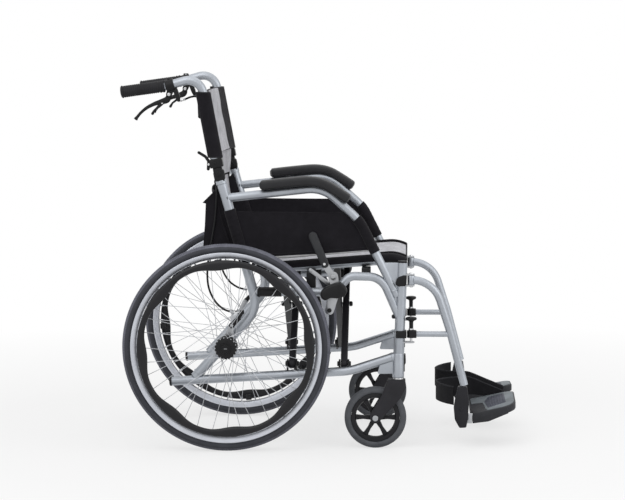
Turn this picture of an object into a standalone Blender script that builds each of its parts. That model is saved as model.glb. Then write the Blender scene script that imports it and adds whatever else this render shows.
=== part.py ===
"""Lightweight folding wheelchair, unfolded, castors trailing. +X forward, +Y its left, +Z up."""

from math import cos, pi, radians, sin, tan

import bmesh
import bpy
from mathutils import Matrix, Quaternion, Vector

# Lengths are in metres. X is measured forward from the rear axle and Z up from the floor.
# Every side piece is drawn for the left, with Y outboard, and mirrored for the right.
GAP = 0.0003

# Side frame tubes
FRAME_Y = 0.215
UPRIGHT_R = 0.012
TUBE_R = 0.011
LOOP_R = 0.0105
ARM_TUBE_R = 0.0105
POST_R = 0.0125
POST_HEAD_R = 0.0145
POST_HEAD_L = 0.060
POST_X = 0.4188
POST_TOP = (0.4286, 0.4575)
POST_BOTTOM_Z = 0.1746
UPRIGHT_TOP = (-0.0135, 0.656)
UPRIGHT_BEND = (0.052, 0.428)
UPRIGHT_KNEE = (0.075, 0.345)
UPRIGHT_FOOT = (-0.081, 0.174)
LOWER_TUBE_REAR = (-0.142, 0.163)
LOWER_TUBE_BEND = (0.300, 0.190)
LOWER_TUBE_FRONT_Z = 0.229
UPRIGHT_BEND_R = 0.10
UPRIGHT_KNEE_R = 0.07
LOWER_BEND_R = 0.15
UPPER_TUBE_Z = 0.385
UPPER_TUBE = ((0.066, UPPER_TUBE_Z), (0.262, UPPER_TUBE_Z), (0.300, 0.4245), (0.378, 0.4225),
              (0.4205, 0.325))
UPPER_BEND_R = (0.03, 0.03, 0.05)
ARMREST_TUBE = ((-0.001, 0.6155), (0.2348, 0.6415), (0.3235, 0.5605), (0.380, 0.448), (0.416, 0.375))
ARMREST_BEND_R = (0.085, 0.120, 0.200)
HEAD_GUSSET = ((0.376, 0.437), (0.384, 0.4575), (0.428, 0.4575), (0.426, 0.355), (0.408, 0.362))
HEAD_GUSSET_HALF = 0.007
FOOT_GUSSET = ((0.368, 0.184), (0.376, 0.213), (0.410, 0.225), (0.410, 0.184))
FOOT_GUSSET_HALF = 0.006
POST_BOLT_Z = (0.3300, 0.2330)
POST_BOLT_R = 0.005
POST_BOLT_REACH = 0.0170
BOSS_R = 0.017
BOSS_INNER_Y = 0.200
BOLT_R = 0.004
BOLT_HEAD_R = 0.0065
BOLT_HEAD_T = 0.003
PIN_PLAY = 0.0005

# Rear wheel
WHEEL_Y = 0.265
TYRE_R = 0.254
TYRE_W = 0.035
TYRE_DEPTH = 0.020
RIM_R = TYRE_R - TYRE_DEPTH
RIM_BED_R = RIM_R - 0.0078
RIM_INNER_R = RIM_R - 0.0155
RIM_W = 0.0264
RIM_WALL = 0.0015
WHEEL_SIDES = 30
TYRE_SHOULDER = 0.0055
TREAD_HALF = 0.005
RIM_INNER_HALF = 0.010
HUB_R = 0.027
HUB_BARREL_R = 0.015
HUB_FLANGE_Y = 0.0125
HUB_BORE_R = 0.0066
HUB_INNER = -0.0235
HUB_OUTER = 0.0200
HUB_CAP_R = 0.013
FLANGE_HALF = 0.0035
FLANGE_BEVEL = 0.0015
SPOKE_ROOT = 0.006
SPOKES = 36
SPOKE_W = 0.002
SPOKE_SWEEP = radians(62)
AXLE_R = 0.006

# Handrim
HANDRIM_R = RIM_INNER_R - 0.0019
HANDRIM_Y = 0.288
HANDRIM_T = 0.014
HANDRIM_BAND = 0.015
HANDRIM_LOBE = 0.010
HANDRIM_LOBES = 8
HANDRIM_PHASE = radians(5)
HANDRIM_SIDES = 32
TAB_W = 0.016
TAB_ROOT = 0.013
TAB_INNER_Y = WHEEL_Y + 0.006

# Hub brake
BRAKE_PLATE_R = 0.0265
BRAKE_PLATE_Y = 0.2335
BRAKE_PLATE_T = 0.005
BRAKE_PIVOT = (0.0120, TYRE_R + 0.0510)
BRAKE_ARM_KNEE = (0.0260, TYRE_R + 0.0660)
BRAKE_ARM_TIP = (0.0375, TYRE_R + 0.0835)
BRAKE_ARM_T = 0.004
BRAKE_PIN_R = 0.0025
BRAKE_ARM_HALF_W = (0.0070, 0.0055, 0.0045)
BRAKE_LUG = (0.0, TYRE_R + 0.010)
BRAKE_LUG_HALF_W = (0.012, 0.007)
AXLE_NUT_R = 0.0095
AXLE_NUT_T = 0.0042
AXLE_OUTER_Y = WHEEL_Y + 0.0225

# Castor
CASTOR_R = 0.076
CASTOR_CORE_R = CASTOR_R - 0.0163
CASTOR_RING_R = CASTOR_CORE_R - 0.0117
CASTOR_W = 0.026
CASTOR_TRAIL = 0.0558
CASTOR_SIDES = 20
CASTOR_SPOKES = 6
CASTOR_SPOKE_W = 0.010
CASTOR_HUB_R = 0.0135
CASTOR_SPOKE_INSET = 0.003
CASTOR_SHOULDER = 0.005
CASTOR_TREAD_INSET = 0.007
CASTOR_AXLE_R = 0.004
FORK_WALL = 0.005
FORK_SIDE_PLAY = 0.0025
FORK_CROWN_T = 0.027
FORK_TOP_GAP = 0.0046
# The fork's leg: its top corners ahead of the post, then its edges about the axle.
FORK_TOP_FRONT = ((0.0175, 0.0), (0.0185, -0.020), (0.0060, -0.045))
FORK_TOP_REAR = ((-0.0385, -0.034), (-0.0265, 0.0))
FORK_FOOT_R = 0.0135
FORK_FOOT_FRONT = (0.0200, 0.0030)
FORK_FOOT_REAR = (-0.0125, 0.0100)
FORK_CROWN = (-0.024, 0.016)
FORK_COLLAR_R = 0.0115
CASTOR_ROOM = 0.0025
STEM_R = 0.006
STEM_L = 0.050

# Cross brace. A leans from the left foot to the right rail, B from the right foot to the left rail.
FOLD_FOOT_Y = 0.195
FOLD_FOOT_Z = 0.205
FOLD_CENTRE_Z = 0.330
BRACE_A_X = (0.1374, 0.2678)
BRACE_B_X = (0.1576, 0.2856)
BRACE_W = 0.016
BRACE_DEPTH = 0.025
BRACE_END_R = 0.012
EAR_T = 0.004
EAR_PLAY = 0.0008
# The ear's outline runs from the lower tube round the brace's foot.
EAR_TUBE_SIDE = ((FRAME_Y + 0.006, FOLD_FOOT_Z - 0.014), (FRAME_Y + 0.004, FOLD_FOOT_Z - 0.002))
EAR_HEEL = (FRAME_Y - 0.008, FOLD_FOOT_Z - 0.022)
RAIL_Y = 0.177
RAIL_R = 0.0115
BRACE_TOP_R = RAIL_R - 0.001
RAIL_REAR = (0.1145, 0.4395)
RAIL_FRONT = (0.436, 0.464)
SADDLE_X = (0.205, 0.340)
SADDLE_L = 0.022
SADDLE_FOOT_Z = (UPPER_TUBE_Z - 0.004, 0.414)
SADDLE_GAP = 0.0012
SADDLE_INNER_Y = RAIL_Y - 0.010

# Seat and back cloth
CLOTH_T = 0.004
SEAT_SAG = 0.014
SEAT_OVER_RAIL = 0.010
SEAT_FRONT_DROP = 0.004
SEAT_FLAT_HALF = RAIL_Y - 0.006
SEAT_REAR_X = 0.060
SEAT_FRONT_X = 0.430
BACK_CLOTH_T = 0.004
BACK_SLEEVE_GAP = 0.0008
BACK_LIP_GAP = 0.0015
BACK_EDGE = 0.002
BACK_SWELL = 0.003
BACK_SAG = 0.022
BACK_BOTTOM_Z = 0.7155
FLAP_HALF_W = 0.1955
FLAP_TOP_Z = 0.650
FLAP_BOTTOM_Z = 0.462
FLAP_BULGE = 0.030
FLAP_SAG = 0.012
FLAP_OFF = 0.018

# Folding back
FOLD_PIVOT = (-0.020, 0.675)
BACK_LEAN = radians(100.5)
TONGUE_HALF = 0.0075
HINGE_PLATE_T = 0.0035
HINGE_R = 0.0125
HINGE_PLATE_FRONT = ((-0.0085, -0.032), (0.0170, -0.036), (0.0155, -0.010))
HINGE_PLATE_REAR = (-0.0095, -0.013)
PIN_HEAD_T = 0.002
TONGUE_R = 0.0115
TONGUE_NECK = 0.011
HINGE_BODY_START = 0.016
HINGE_BODY_END = 0.038
HINGE_BODY_HALF = 0.0145
HINGE_BODY_W = 0.0130
HINGE_BODY_BEVEL = 0.003
POST_SINK = 0.006
HANDLE_TOP_Z = 0.912
HANDLE_TOP_X = FOLD_PIVOT[0] + (HANDLE_TOP_Z - FOLD_PIVOT[1]) / tan(BACK_LEAN)
BACK_TOP_Z = HANDLE_TOP_Z - 0.039
HANDLE_TOP_R = 0.036
HANDLE_KNEE_R = 0.08
HANDLE_KNEE = (HANDLE_TOP_X - 0.0771, HANDLE_TOP_Z - 0.0220)
HANDLE_END = (HANDLE_TOP_X - 0.1921, HANDLE_TOP_Z - 0.0378)
GRIP_R = 0.0155
GRIP_RIB = 0.0015
GRIP_RIB_SHARES = (0.0, 0.93)
GRIP_RIB_L = 0.06
GRIP_END = (HANDLE_TOP_X - 0.1941, HANDLE_TOP_Z - 0.0381)
GRIP_FRONT = (HANDLE_TOP_X - 0.0861, HANDLE_TOP_Z - 0.0233)
LATCH_PIVOT = (-0.0435, 0.6980)
LATCH_TIP = (-0.069, 0.7275)
LATCH_T = 0.008
LATCH_SPINE = ((-0.0085, 0.0190), (-0.0005, 0.0080), (0.0, 0.0), (-0.0015, -0.0120))
LATCH_HALF_W = (0.0018, 0.0022, 0.0030, 0.0040, 0.0035)
LATCH_PIN_R = 0.002
LATCH_CHEEK_FOOT = (LATCH_PIVOT[0] + 0.014, LATCH_PIVOT[1] + 0.003)
LATCH_CHEEK_HALF_W = (0.0060, 0.0045)
LATCH_CHEEK_OUTER = LATCH_T / 2 + 0.003

# Attendant brake lever
# These points are how far behind and below the handle's top corner they lie.
LEVER_PIVOT = (HANDLE_TOP_X - 0.0755, HANDLE_TOP_Z - 0.0432)
LEVER_T = 0.008
LEVER_SPINE = ((0.0755, 0.0432), (0.0801, 0.0560), (0.0961, 0.0620), (0.1111, 0.0665), (0.1291, 0.0755),
               (0.1441, 0.0875), (0.1541, 0.0990), (0.1586, 0.1050))
LEVER_HALF_W = (0.0048, 0.0070, 0.0055, 0.0040, 0.0032, 0.0028, 0.0030, 0.0048)
LEVER_CHEEK = ((0.0691, 0.0260), (0.0755, 0.0432))
LEVER_CHEEK_R = (0.0080, 0.0070)
LEVER_CHEEK_T = 0.003
LEVER_PIN_R = 0.0025
LEVER_PIN_REACH = 0.004
LEVER_WEB = ((0.0651, 0.0220), (0.0561, 0.0280), (0.0491, 0.0480), (0.0471, 0.0600), (0.0541, 0.0620),
             (0.0601, 0.0500), (0.0651, 0.0360))
CABLE_STOP = ((0.0521, 0.0580), (0.0406, 0.0565))
CABLE_STOP_R = 0.0042
CLAMP_X = (HANDLE_TOP_X - 0.0836, HANDLE_TOP_X - 0.0631)
CLAMP_R = 0.0155
LOCK_PIVOT = (HANDLE_TOP_X - 0.0921, HANDLE_TOP_Z - 0.0650)
LOCK_T = 0.003
LOCK_PIN_R = 0.002
LOCK_SPINE = ((0.0921, 0.0650), (0.1001, 0.0735), (0.1101, 0.0810), (0.1156, 0.0900))
LOCK_HALF_W = (0.0042, 0.0028, 0.0022, 0.0030)
CABLE_R = 0.0025
CABLE_OFF = 0.0045
CABLE_TOP = ((0.0389, FRAME_Y, 0.0563), (0.0321, 0.2120, 0.0535), (0.0221, 0.2000, 0.0500),
             (0.0081, 0.1975, 0.0510))
CABLE_MIDDLE = ((-0.0590, 0.8400), (-0.0440, 0.7800), (-0.0330, 0.7250), (-0.0270, 0.6850),
                (-0.0260, 0.6400), (-0.0300, 0.5700), (-0.0400, 0.5050))
CABLE_FOOT = ((-0.0490, 0.2040, 0.1940), (-0.0470, 0.2130, 0.1460), (-0.0310, 0.2250, 0.1110),
              (-0.0080, 0.2360, 0.0910), (0.0170, 0.2405, 0.0830))

# Armrest
PAD_W = 0.047
PAD_T = 0.026
PANEL_T = 0.003
SLEEVE_WALL = 0.0020
PAD_OFFSET_Y = 0.0095
PAD_SINK = 0.003
# The pad's section is shares of half its width and thickness, and its ends shrink in these steps.
PAD_FLAT = ((-1.0, -0.5), (-0.8, -1.0), (0.8, -1.0), (1.0, -0.5))
PAD_CROWN = ((1.0, 0.35), (0.75, 0.9), (0.0, 1.0), (-0.75, 0.9), (-1.0, 0.35))
PAD_END_SHARES = (0.70, 0.93, 1.0)
PAD_TOP = ((0.0820, 0.6255), (0.1500, 0.6330), (0.2000, 0.6365), (0.2350, 0.6300))
PAD_NOSE = ((0.2660, 0.6335), (0.2985, 0.6120))
PANEL_OUTLINE = ((0.0115, 0.5870), (0.030, 0.4900), (0.036, 0.4700), (0.1285, 0.4705), (0.325, 0.4860),
                 (0.366, 0.4890), (0.3235, 0.5560), (0.2950, 0.5830), (0.2900, 0.5855), (0.150, 0.5855))
PANEL_SLEEVE = ((0.3165, 0.5660), (0.3245, 0.5575), (0.3215, 0.5615), (0.3624, 0.4830))
REAR_SLEEVE_SHARES = (0.36, 0.88)

# Parking brake
PARK_Y = 0.2285
PARK_PLATE_T = 0.003
PARK_X = TYRE_R + 0.0060
PARK_PIVOT = (PARK_X, 0.4250)
PARK_PIN_R = 0.0030
SHOE_PIVOT = (PARK_X - 0.0090, 0.3420)
SHOE_OUT_Y = 0.272
# The brake's other points are how far ahead of its pivot they lie, and their height.
PARK_PLATE_WAIST = (0.0040, 0.3900)
PARK_PLATE_R = (0.0120, 0.0130, 0.0110)
PARK_ARM = ((-0.0120, 0.4080), (-0.0550, 0.4400))
PARK_ARM_R = 0.0050
PARK_CLAMP = (0.0120, 0.3900)
PARK_CLAMP_R = 0.0070
PARK_HEAD_R = 0.0055
PARK_LEVER_FOOT = ((0.0, 0.4250), (-0.0130, 0.4430), (-0.0210, 0.4600))
PARK_LEVER_FOOT_R = (0.0085, 0.0080, 0.0080)
PARK_LEVER_GRIP = ((-0.0200, 0.4560), (-0.0490, 0.5240))
PARK_LEVER_GRIP_R = (0.0095, 0.0105)
PARK_LEVER_T = 0.005
PARK_GRIP_INNER = 0.0015
PARK_GRIP_OUTER = 0.0040
LEVER_FOOT_ROOM = 0.0062
LEVER_FOOT_SWING_R = 0.0180
SHOE_ARM = ((-0.0090, 0.3420), (-0.0040, 0.3620), (0.0, 0.3850))
SHOE_ARM_R = 0.0110
SHOE_ARM_T = 0.004
SHOE_OUTLINE = ((-0.0270, 0.3750), (-0.0180, 0.3705), (-0.0050, 0.3760), (0.0120, 0.3755),
                (0.0270, 0.3800), (0.0340, 0.3900), (0.0320, 0.4010), (0.0200, 0.4125),
                (0.0100, 0.4125), (-0.0100, 0.4060), (-0.0250, 0.3960), (-0.0305, 0.3850))

# Hanger and footrest
SWING_X = 0.4505
HANGER_TUBE_R = 0.00975
HANGER_BAR_R = 0.0070
HANGER_BAR_Z = 0.282
HANGER_TOP_Z = 0.415
SOCKET_FRONT_X = 0.5925
HANGER_FOOT = (SOCKET_FRONT_X - 0.0120, 0.156)
HANGER_REACH = HANGER_FOOT[0] - SWING_X
HANGER_TUBE = ((SWING_X + 0.006, HANGER_TOP_Z), (SWING_X + 0.427 * HANGER_REACH, HANGER_TOP_Z - 0.004),
               (SWING_X + 0.727 * HANGER_REACH, HANGER_TOP_Z - 0.125), HANGER_FOOT)
HANGER_BEND_R = (0.554 * HANGER_REACH, 2.31 * HANGER_REACH)
HANGER_BAR_END = HANGER_FOOT[0] - 0.0335
SWING_PIN_R = 0.0035
SWING_EYE_R = 0.0095
SWING_EYE_H = 0.022
LUG_T = 0.004
LUG_HALF_W = 0.008
CLAMP_HALF_W = 0.0135
SEAT_BLOCK_HALF_W = 0.0155
BLOCK_R = 0.0105
BLOCK_H = 0.018
BLOCK_HALF_W = 0.010
BLOCK_L = 0.013
CATCH_Z = 0.264
KNOB_R = 0.0138
KNOB_PIN_R = 0.003
KNOB_PROFILE = ((0.0065, 0.0), (0.0065, 0.0040), (0.0050, 0.0050), (0.0055, 0.0230), (0.0120, 0.0255),
                (KNOB_R, 0.0290), (0.0110, 0.0325), (0.0, 0.0332))
FLIP_Y = 0.190
FLIP_Z = 0.078
FLIP_PIN_R = 0.004
FLIP_PIN_ROOT = 0.0075
FLIP_PIN_REACH = 0.028
FLIP_BLOCK_L = 0.0185
FLIP_BLOCK_GAP = 0.0015
FLIP_BLOCK_HALF = 0.007
FLIP_BLOCK_RISE = 0.010
SOCKET_HALF = 0.012
SOCKET_OUTLINE = ((0.0275, 0.1529), (0.0050, 0.1529), (0.0, 0.1180), (0.0020, 0.0800), (0.0065, 0.0520),
                  (0.0235, 0.0510), (0.0350, 0.0720), (0.0375, 0.1000), (0.0325, 0.1320))
PLATE_GAP = 0.0040
PLATE_L = 0.1125
PLATE_REAR_X = SOCKET_FRONT_X + PLATE_GAP
PLATE_FRONT_X = PLATE_REAR_X + PLATE_L
PLATE_INNER_Y = 0.045
PLATE_OUTER_Y = FLIP_Y + 0.010
PLATE_NICK = 0.006
KEEL_INNER_Y = FLIP_Y - 0.030
# The plate's side profile is measured from its rear edge, then from its front edge.
PLATE_REAR_PROFILE = ((0.0, 0.0700), (0.0, 0.0880))
PLATE_FRONT_PROFILE = ((-0.014, 0.1090), (-0.003, 0.1095), (0.0, 0.1040), (-0.006, 0.0925),
                       (-0.045, 0.0790))
KEEL_REAR_PROFILE = ((0.045, 0.0630), (0.0, 0.0580), (0.0, 0.0860))
KEEL_FRONT_PROFILE = ((-0.020, 0.1000), (-0.018, 0.0840))
PLATE_CORNER_R = 0.030
LOOP_STRAP_T = 0.002
LOOP_Z = (0.105, 0.150)
LOOP_ROUTE = ((0.0376, 0.2060), (0.0565, 0.1800), (0.0725, 0.1450), (0.0795, 0.1080), (0.0695, 0.0780),
              (0.0400, 0.0530), (-0.0040, 0.0434), (-0.0500, 0.0432))
# The strap's run beside the plate narrows to this height where it ends, so far behind the plate's front.
LOOP_FRONT_Z = (0.0980, 0.1140)
LOOP_END = (0.0240, 0.0432)

# The row's origin is under the middle of the chair, from the grip's end to the footplate's front.
ORIGIN_X = (PLATE_FRONT_X + GRIP_END[0]) / 2

SILVER = ((0.60, 0.62, 0.64), 0.35, 0.9)
STEEL = ((0.55, 0.56, 0.58), 0.3, 1.0)
RUBBER = ((0.10, 0.10, 0.11), 0.85, 0.0)
PLASTIC = ((0.03, 0.03, 0.033), 0.5, 0.0)
GREY_RUBBER = ((0.16, 0.17, 0.18), 0.8, 0.0)
CLOTH = ((0.02, 0.02, 0.022), 0.95, 0.0)
PALE_CLOTH = ((0.50, 0.50, 0.53), 0.95, 0.0)


def clear_scene():
    for obj in list(bpy.data.objects):
        bpy.data.objects.remove(obj, do_unlink=True)


def material(finish):
    """The finish's material, made once."""
    colour, roughness, metallic = finish
    name = "finish_%02d_%02d_%02d" % tuple(round(c * 99) for c in colour)
    found = bpy.data.materials.get(name)
    if found:
        return found
    made = bpy.data.materials.new(name)
    made.use_nodes = True
    shader = made.node_tree.nodes["Principled BSDF"]
    shader.inputs["Base Color"].default_value = (*colour, 1.0)
    shader.inputs["Roughness"].default_value = roughness
    shader.inputs["Metallic"].default_value = metallic
    return made


def as_object(bm):
    """A scene object that holds the bmesh, with its faces out."""
    bmesh.ops.remove_doubles(bm, verts=bm.verts, dist=1e-6)
    bmesh.ops.recalc_face_normals(bm, faces=bm.faces)
    mesh = bpy.data.meshes.new("shape")
    bm.to_mesh(mesh)
    bm.free()
    obj = bpy.data.objects.new("shape", mesh)
    bpy.context.collection.objects.link(obj)
    return obj


def evaluated_mesh(obj):
    graph = bpy.context.evaluated_depsgraph_get()
    return bpy.data.meshes.new_from_object(obj.evaluated_get(graph))


def cut_or_join(base, others, operation):
    """The base with each of the other shapes joined to it or cut from it, in turn."""
    for other in others:
        change = base.modifiers.new("solid", "BOOLEAN")
        change.operation = operation
        change.object = other
    bpy.context.view_layer.update()
    mesh = evaluated_mesh(base)
    base.modifiers.clear()
    base.data = mesh
    for other in others:
        bpy.data.objects.remove(other, do_unlink=True)
    return base


def joined_at_once(base, others):
    """The base joined to many crossing shapes in one step."""
    group = bpy.data.collections.new("operands")
    for other in others:
        group.objects.link(other)
    change = base.modifiers.new("solid", "BOOLEAN")
    change.operation = "UNION"
    change.operand_type = "COLLECTION"
    change.collection = group
    bpy.context.view_layer.update()
    mesh = evaluated_mesh(base)
    base.modifiers.clear()
    base.data = mesh
    for other in others:
        bpy.data.objects.remove(other, do_unlink=True)
    bpy.data.collections.remove(group)
    return base


def fused(shapes, cuts=()):
    """One solid of the overlapping shapes, less the cuts."""
    joined = cut_or_join(shapes[0], list(shapes[1:]), "UNION")
    return cut_or_join(joined, list(cuts), "DIFFERENCE")


def finished(name, obj, side, finish, pivot=(0.0, 0.0, 0.0)):
    """Names the piece, mirrors it for the right side and sets its origin on its joint's axis."""
    mesh = obj.data
    mesh.transform(Matrix.Diagonal((1.0, side, 1.0, 1.0)))
    if side < 0:
        mesh.flip_normals()
    origin = Vector((pivot[0], pivot[1] * side, pivot[2]))
    mesh.transform(Matrix.Translation(-origin))
    obj.location = origin - Vector((ORIGIN_X, 0.0, 0.0))
    obj.name = name
    mesh.name = name
    mesh.materials.clear()
    mesh.materials.append(material(finish))
    mesh.shade_smooth()
    mesh.set_sharp_from_angle(angle=radians(35))
    return obj


def rounded(points, radii, steps=4):
    """The path through the points, with every inner corner on an arc of its radius."""
    points = [Vector(p) for p in points]
    path = [points[0]]
    for before, corner, after, radius in zip(points, points[1:], points[2:], radii):
        back = (before - corner).normalized()
        ahead = (after - corner).normalized()
        half = back.angle(ahead) / 2
        centre = corner + (back + ahead).normalized() * (radius / sin(half))
        start = corner + back * (radius / tan(half)) - centre
        step = Quaternion(ahead.cross(back), (pi - 2 * half) / steps)
        path.append(centre + start)
        for _ in range(steps):
            start = step @ start
            path.append(centre + start)
    path.append(points[-1])
    return path


def smooth_path(points, count):
    """A smooth curve through the points, as count points along it."""
    points = [Vector(p) for p in points]
    ends = [2 * points[0] - points[1]] + points + [2 * points[-1] - points[-2]]
    spans = len(points) - 1
    path = []
    for index in range(count):
        at = index / (count - 1) * spans
        k = min(int(at), spans - 1)
        t = at - k
        a, b, c, d = ends[k : k + 4]
        path.append(
            0.5 * (2 * b + (c - a) * t + (2 * a - 5 * b + 4 * c - d) * t**2
                   + (3 * b - a - 3 * c + d) * t**3)
        )
    return path


def tube(path, radius, sides=10):
    """A solid rod along the path, with flat ends."""
    curve = bpy.data.curves.new("rod", "CURVE")
    curve.dimensions = "3D"
    curve.fill_mode = "FULL"
    curve.bevel_depth = radius
    curve.bevel_resolution = (sides - 4) // 2
    curve.use_fill_caps = True
    spline = curve.splines.new("POLY")
    spline.points.add(len(path) - 1)
    for point, place in zip(spline.points, path):
        point.co = (*place, 1.0)
    rod = bpy.data.objects.new("rod", curve)
    bpy.context.collection.objects.link(rod)
    bpy.context.view_layer.update()
    mesh = evaluated_mesh(rod)
    bpy.data.objects.remove(rod, do_unlink=True)
    bm = bmesh.new()
    bm.from_mesh(mesh)
    return as_object(bm)


def side_tube(points, radii, radius, sides=10, steps=4, y=FRAME_Y):
    """A tube in a plane of the side frame, through points given as (x, z)."""
    path = rounded([(x, y, z) for x, z in points], radii, steps)
    return tube(path, radius, sides)


def rod(start, end, radius, sides=10):
    """A straight round bar."""
    start, end = Vector(start), Vector(end)
    along = end - start
    bm = bmesh.new()
    bmesh.ops.create_cone(
        bm, cap_ends=True, segments=sides, radius1=radius, radius2=radius, depth=along.length
    )
    turn = Vector((0, 0, 1)).rotation_difference(along).to_matrix().to_4x4()
    bm.transform(Matrix.Translation((start + end) / 2) @ turn)
    return as_object(bm)


def box(low, high):
    bm = bmesh.new()
    bmesh.ops.create_cube(bm, size=1.0)
    low, high = Vector(low), Vector(high)
    bm.transform(Matrix.Translation((low + high) / 2) @ Matrix.Diagonal((*(high - low), 1.0)))
    return as_object(bm)


def plate(outline, low, high, plane="XZ"):
    """The outline, drawn in the plane, extruded square to it from low to high."""
    order = {"XZ": lambda a, b, c: (a, c, b), "YZ": lambda a, b, c: (c, a, b),
             "XY": lambda a, b, c: (a, b, c)}[plane]
    bm = bmesh.new()
    face = bm.faces.new([bm.verts.new(order(a, b, low)) for a, b in outline])
    grown = bmesh.ops.extrude_face_region(bm, geom=[face])
    moved = [v for v in grown["geom"] if isinstance(v, bmesh.types.BMVert)]
    bmesh.ops.translate(bm, verts=moved, vec=Vector(order(0.0, 0.0, high - low)))
    return as_object(bm)


def strip(points, radii, steps=4):
    """The outline round circles of the radii on the points, each run of it straight."""
    points = [Vector(p) for p in points]
    left, right = [], []
    for index, (point, radius) in enumerate(zip(points, radii)):
        before = points[max(index - 1, 0)]
        after = points[min(index + 1, len(points) - 1)]
        along = (after - before).normalized()
        across = Vector((-along.y, along.x))
        left.append(point + across * radius)
        right.append(point - across * radius)
    heading = (points[-1] - points[-2]).normalized()
    start = (points[1] - points[0]).normalized()
    nose = []
    tail = []
    for k in range(1, steps):
        turn = pi / 2 - pi * k / steps
        nose.append(points[-1] + Matrix.Rotation(turn, 2) @ heading * radii[-1])
        tail.append(points[0] + Matrix.Rotation(turn, 2) @ -start * radii[0])
    return [tuple(p) for p in left + nose + right[::-1] + tail]


def disc(centre, radius, count=12, start=0.0, sweep=2 * pi):
    """Points round a circle, as an outline."""
    whole = abs(sweep - 2 * pi) < 1e-6
    last = count if whole else count - 1
    return [
        (centre[0] + radius * cos(start + sweep * k / last),
         centre[1] + radius * sin(start + sweep * k / last))
        for k in range(count)
    ]


def turned(profile, centre, segments, solid=False, axis="Y"):
    """Spins a closed profile of (radius, along) about an axis through the centre, with a flat lowest."""
    bm = bmesh.new()
    along = {"Y": lambda r, a: (r, a, 0.0), "Z": lambda r, a: (r, 0.0, a)}[axis]
    verts = [bm.verts.new(along(r, a)) for r, a in profile]
    edges = [bm.edges.new(pair) for pair in zip(verts, verts[1:])]
    if not solid:
        edges.append(bm.edges.new((verts[-1], verts[0])))
    spin_axis = (0, 1, 0) if axis == "Y" else (0, 0, 1)
    bmesh.ops.spin(
        bm, geom=verts + edges, cent=(0, 0, 0), axis=spin_axis, angle=2 * pi, steps=segments,
        use_merge=True, use_duplicate=False,
    )
    half_step = Matrix.Rotation(pi / segments, 4, axis)
    bm.transform(Matrix.Translation(centre) @ half_step)
    return as_object(bm)


def skin(rings, closed=False):
    """A solid through rings of as many points each, capped at its ends or joined round."""
    bm = bmesh.new()
    rows = [[bm.verts.new(p) for p in ring] for ring in rings]
    pairs = list(zip(rows, rows[1:] + rows[:1] if closed else rows[1:]))
    for one, two in pairs:
        for k in range(len(one)):
            n = (k + 1) % len(one)
            bm.faces.new((one[k], one[n], two[n], two[k]))
    if not closed:
        bm.faces.new(rows[0][::-1])
        bm.faces.new(rows[-1])
    return as_object(bm)


def sheet(grid, thickness):
    """A closed sheet: the grid of points is its upper face, and the lower one hangs below it."""
    rows, columns = len(grid), len(grid[0])
    bm = bmesh.new()
    verts = [[bm.verts.new(p) for p in row] for row in grid]
    for i in range(rows - 1):
        for j in range(columns - 1):
            bm.faces.new((verts[i][j], verts[i + 1][j], verts[i + 1][j + 1], verts[i][j + 1]))
    bmesh.ops.recalc_face_normals(bm, faces=bm.faces)
    bmesh.ops.solidify(bm, geom=bm.verts[:] + bm.edges[:] + bm.faces[:], thickness=thickness)
    return as_object(bm)


def brace_feet(side):
    """The X places of the brace's feet on this side's lower tube."""
    return BRACE_A_X if side > 0 else BRACE_B_X


def rail_z(x):
    """The height of a seat rail's centre."""
    (x0, z0), (x1, z1) = RAIL_REAR, RAIL_FRONT
    return z0 + (z1 - z0) * (x - x0) / (x1 - x0)


def armrest_tube(more=0.0):
    """The armrest tube, or with a larger radius the room that it needs."""
    return side_tube(ARMREST_TUBE, ARMREST_BEND_R, ARM_TUBE_R + more, 8, 2)


def upright_points():
    return [UPRIGHT_TOP, UPRIGHT_BEND, UPRIGHT_KNEE, UPRIGHT_FOOT]


def upright_tube(more=0.0):
    """The rear upright, which sweeps back past the axle to the lower tube."""
    return side_tube(upright_points(), (UPRIGHT_BEND_R, UPRIGHT_KNEE_R), UPRIGHT_R + more, 8, 3)


def upper_tube(more=0.0):
    """The upper side tube, from the upright under the seat and down into the post."""
    return side_tube(UPPER_TUBE, UPPER_BEND_R, LOOP_R + more, 8, 2)


def lower_tube():
    """The lower side tube, open behind for stepping on, and rising to the post in front."""
    front = (POST_X, LOWER_TUBE_FRONT_Z)
    return side_tube((LOWER_TUBE_REAR, LOWER_TUBE_BEND, front), (LOWER_BEND_R,), TUBE_R, 8, 3)


def handle_tube(start, more=0.0):
    """The folding post from its start to the handle's end."""
    points = [tuple(start)] + handle_points()
    return side_tube(points, (HANDLE_TOP_R, HANDLE_KNEE_R), TUBE_R + more, 10, 4)


def brace_ears(side):
    """The ears on the lower tube that hold the brace's feet, with their bolts."""
    shapes = []
    for x in brace_feet(side):
        inner = BRACE_W / 2 + EAR_PLAY
        round_foot = disc((FOLD_FOOT_Y, FOLD_FOOT_Z), BRACE_END_R, 3, radians(60), radians(170))
        outline = [*EAR_TUBE_SIDE, *round_foot, EAR_HEEL]
        for sign in (-1, 1):
            near, far = sorted((x + sign * inner, x + sign * (inner + EAR_T)))
            shapes.append(plate(outline, near, far, "YZ"))
            head = x + sign * (inner + EAR_T + BOLT_HEAD_T)
            inside = x + sign * (inner + EAR_T / 2)
            shapes.append(
                rod((inside, FOLD_FOOT_Y, FOLD_FOOT_Z), (head, FOLD_FOOT_Y, FOLD_FOOT_Z),
                    BOLT_HEAD_R, 6)
            )
        reach = inner + EAR_T / 2
        shapes.append(
            rod((x - reach, FOLD_FOOT_Y, FOLD_FOOT_Z), (x + reach, FOLD_FOOT_Y, FOLD_FOOT_Z),
                BOLT_R, 6)
        )
    return shapes


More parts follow.
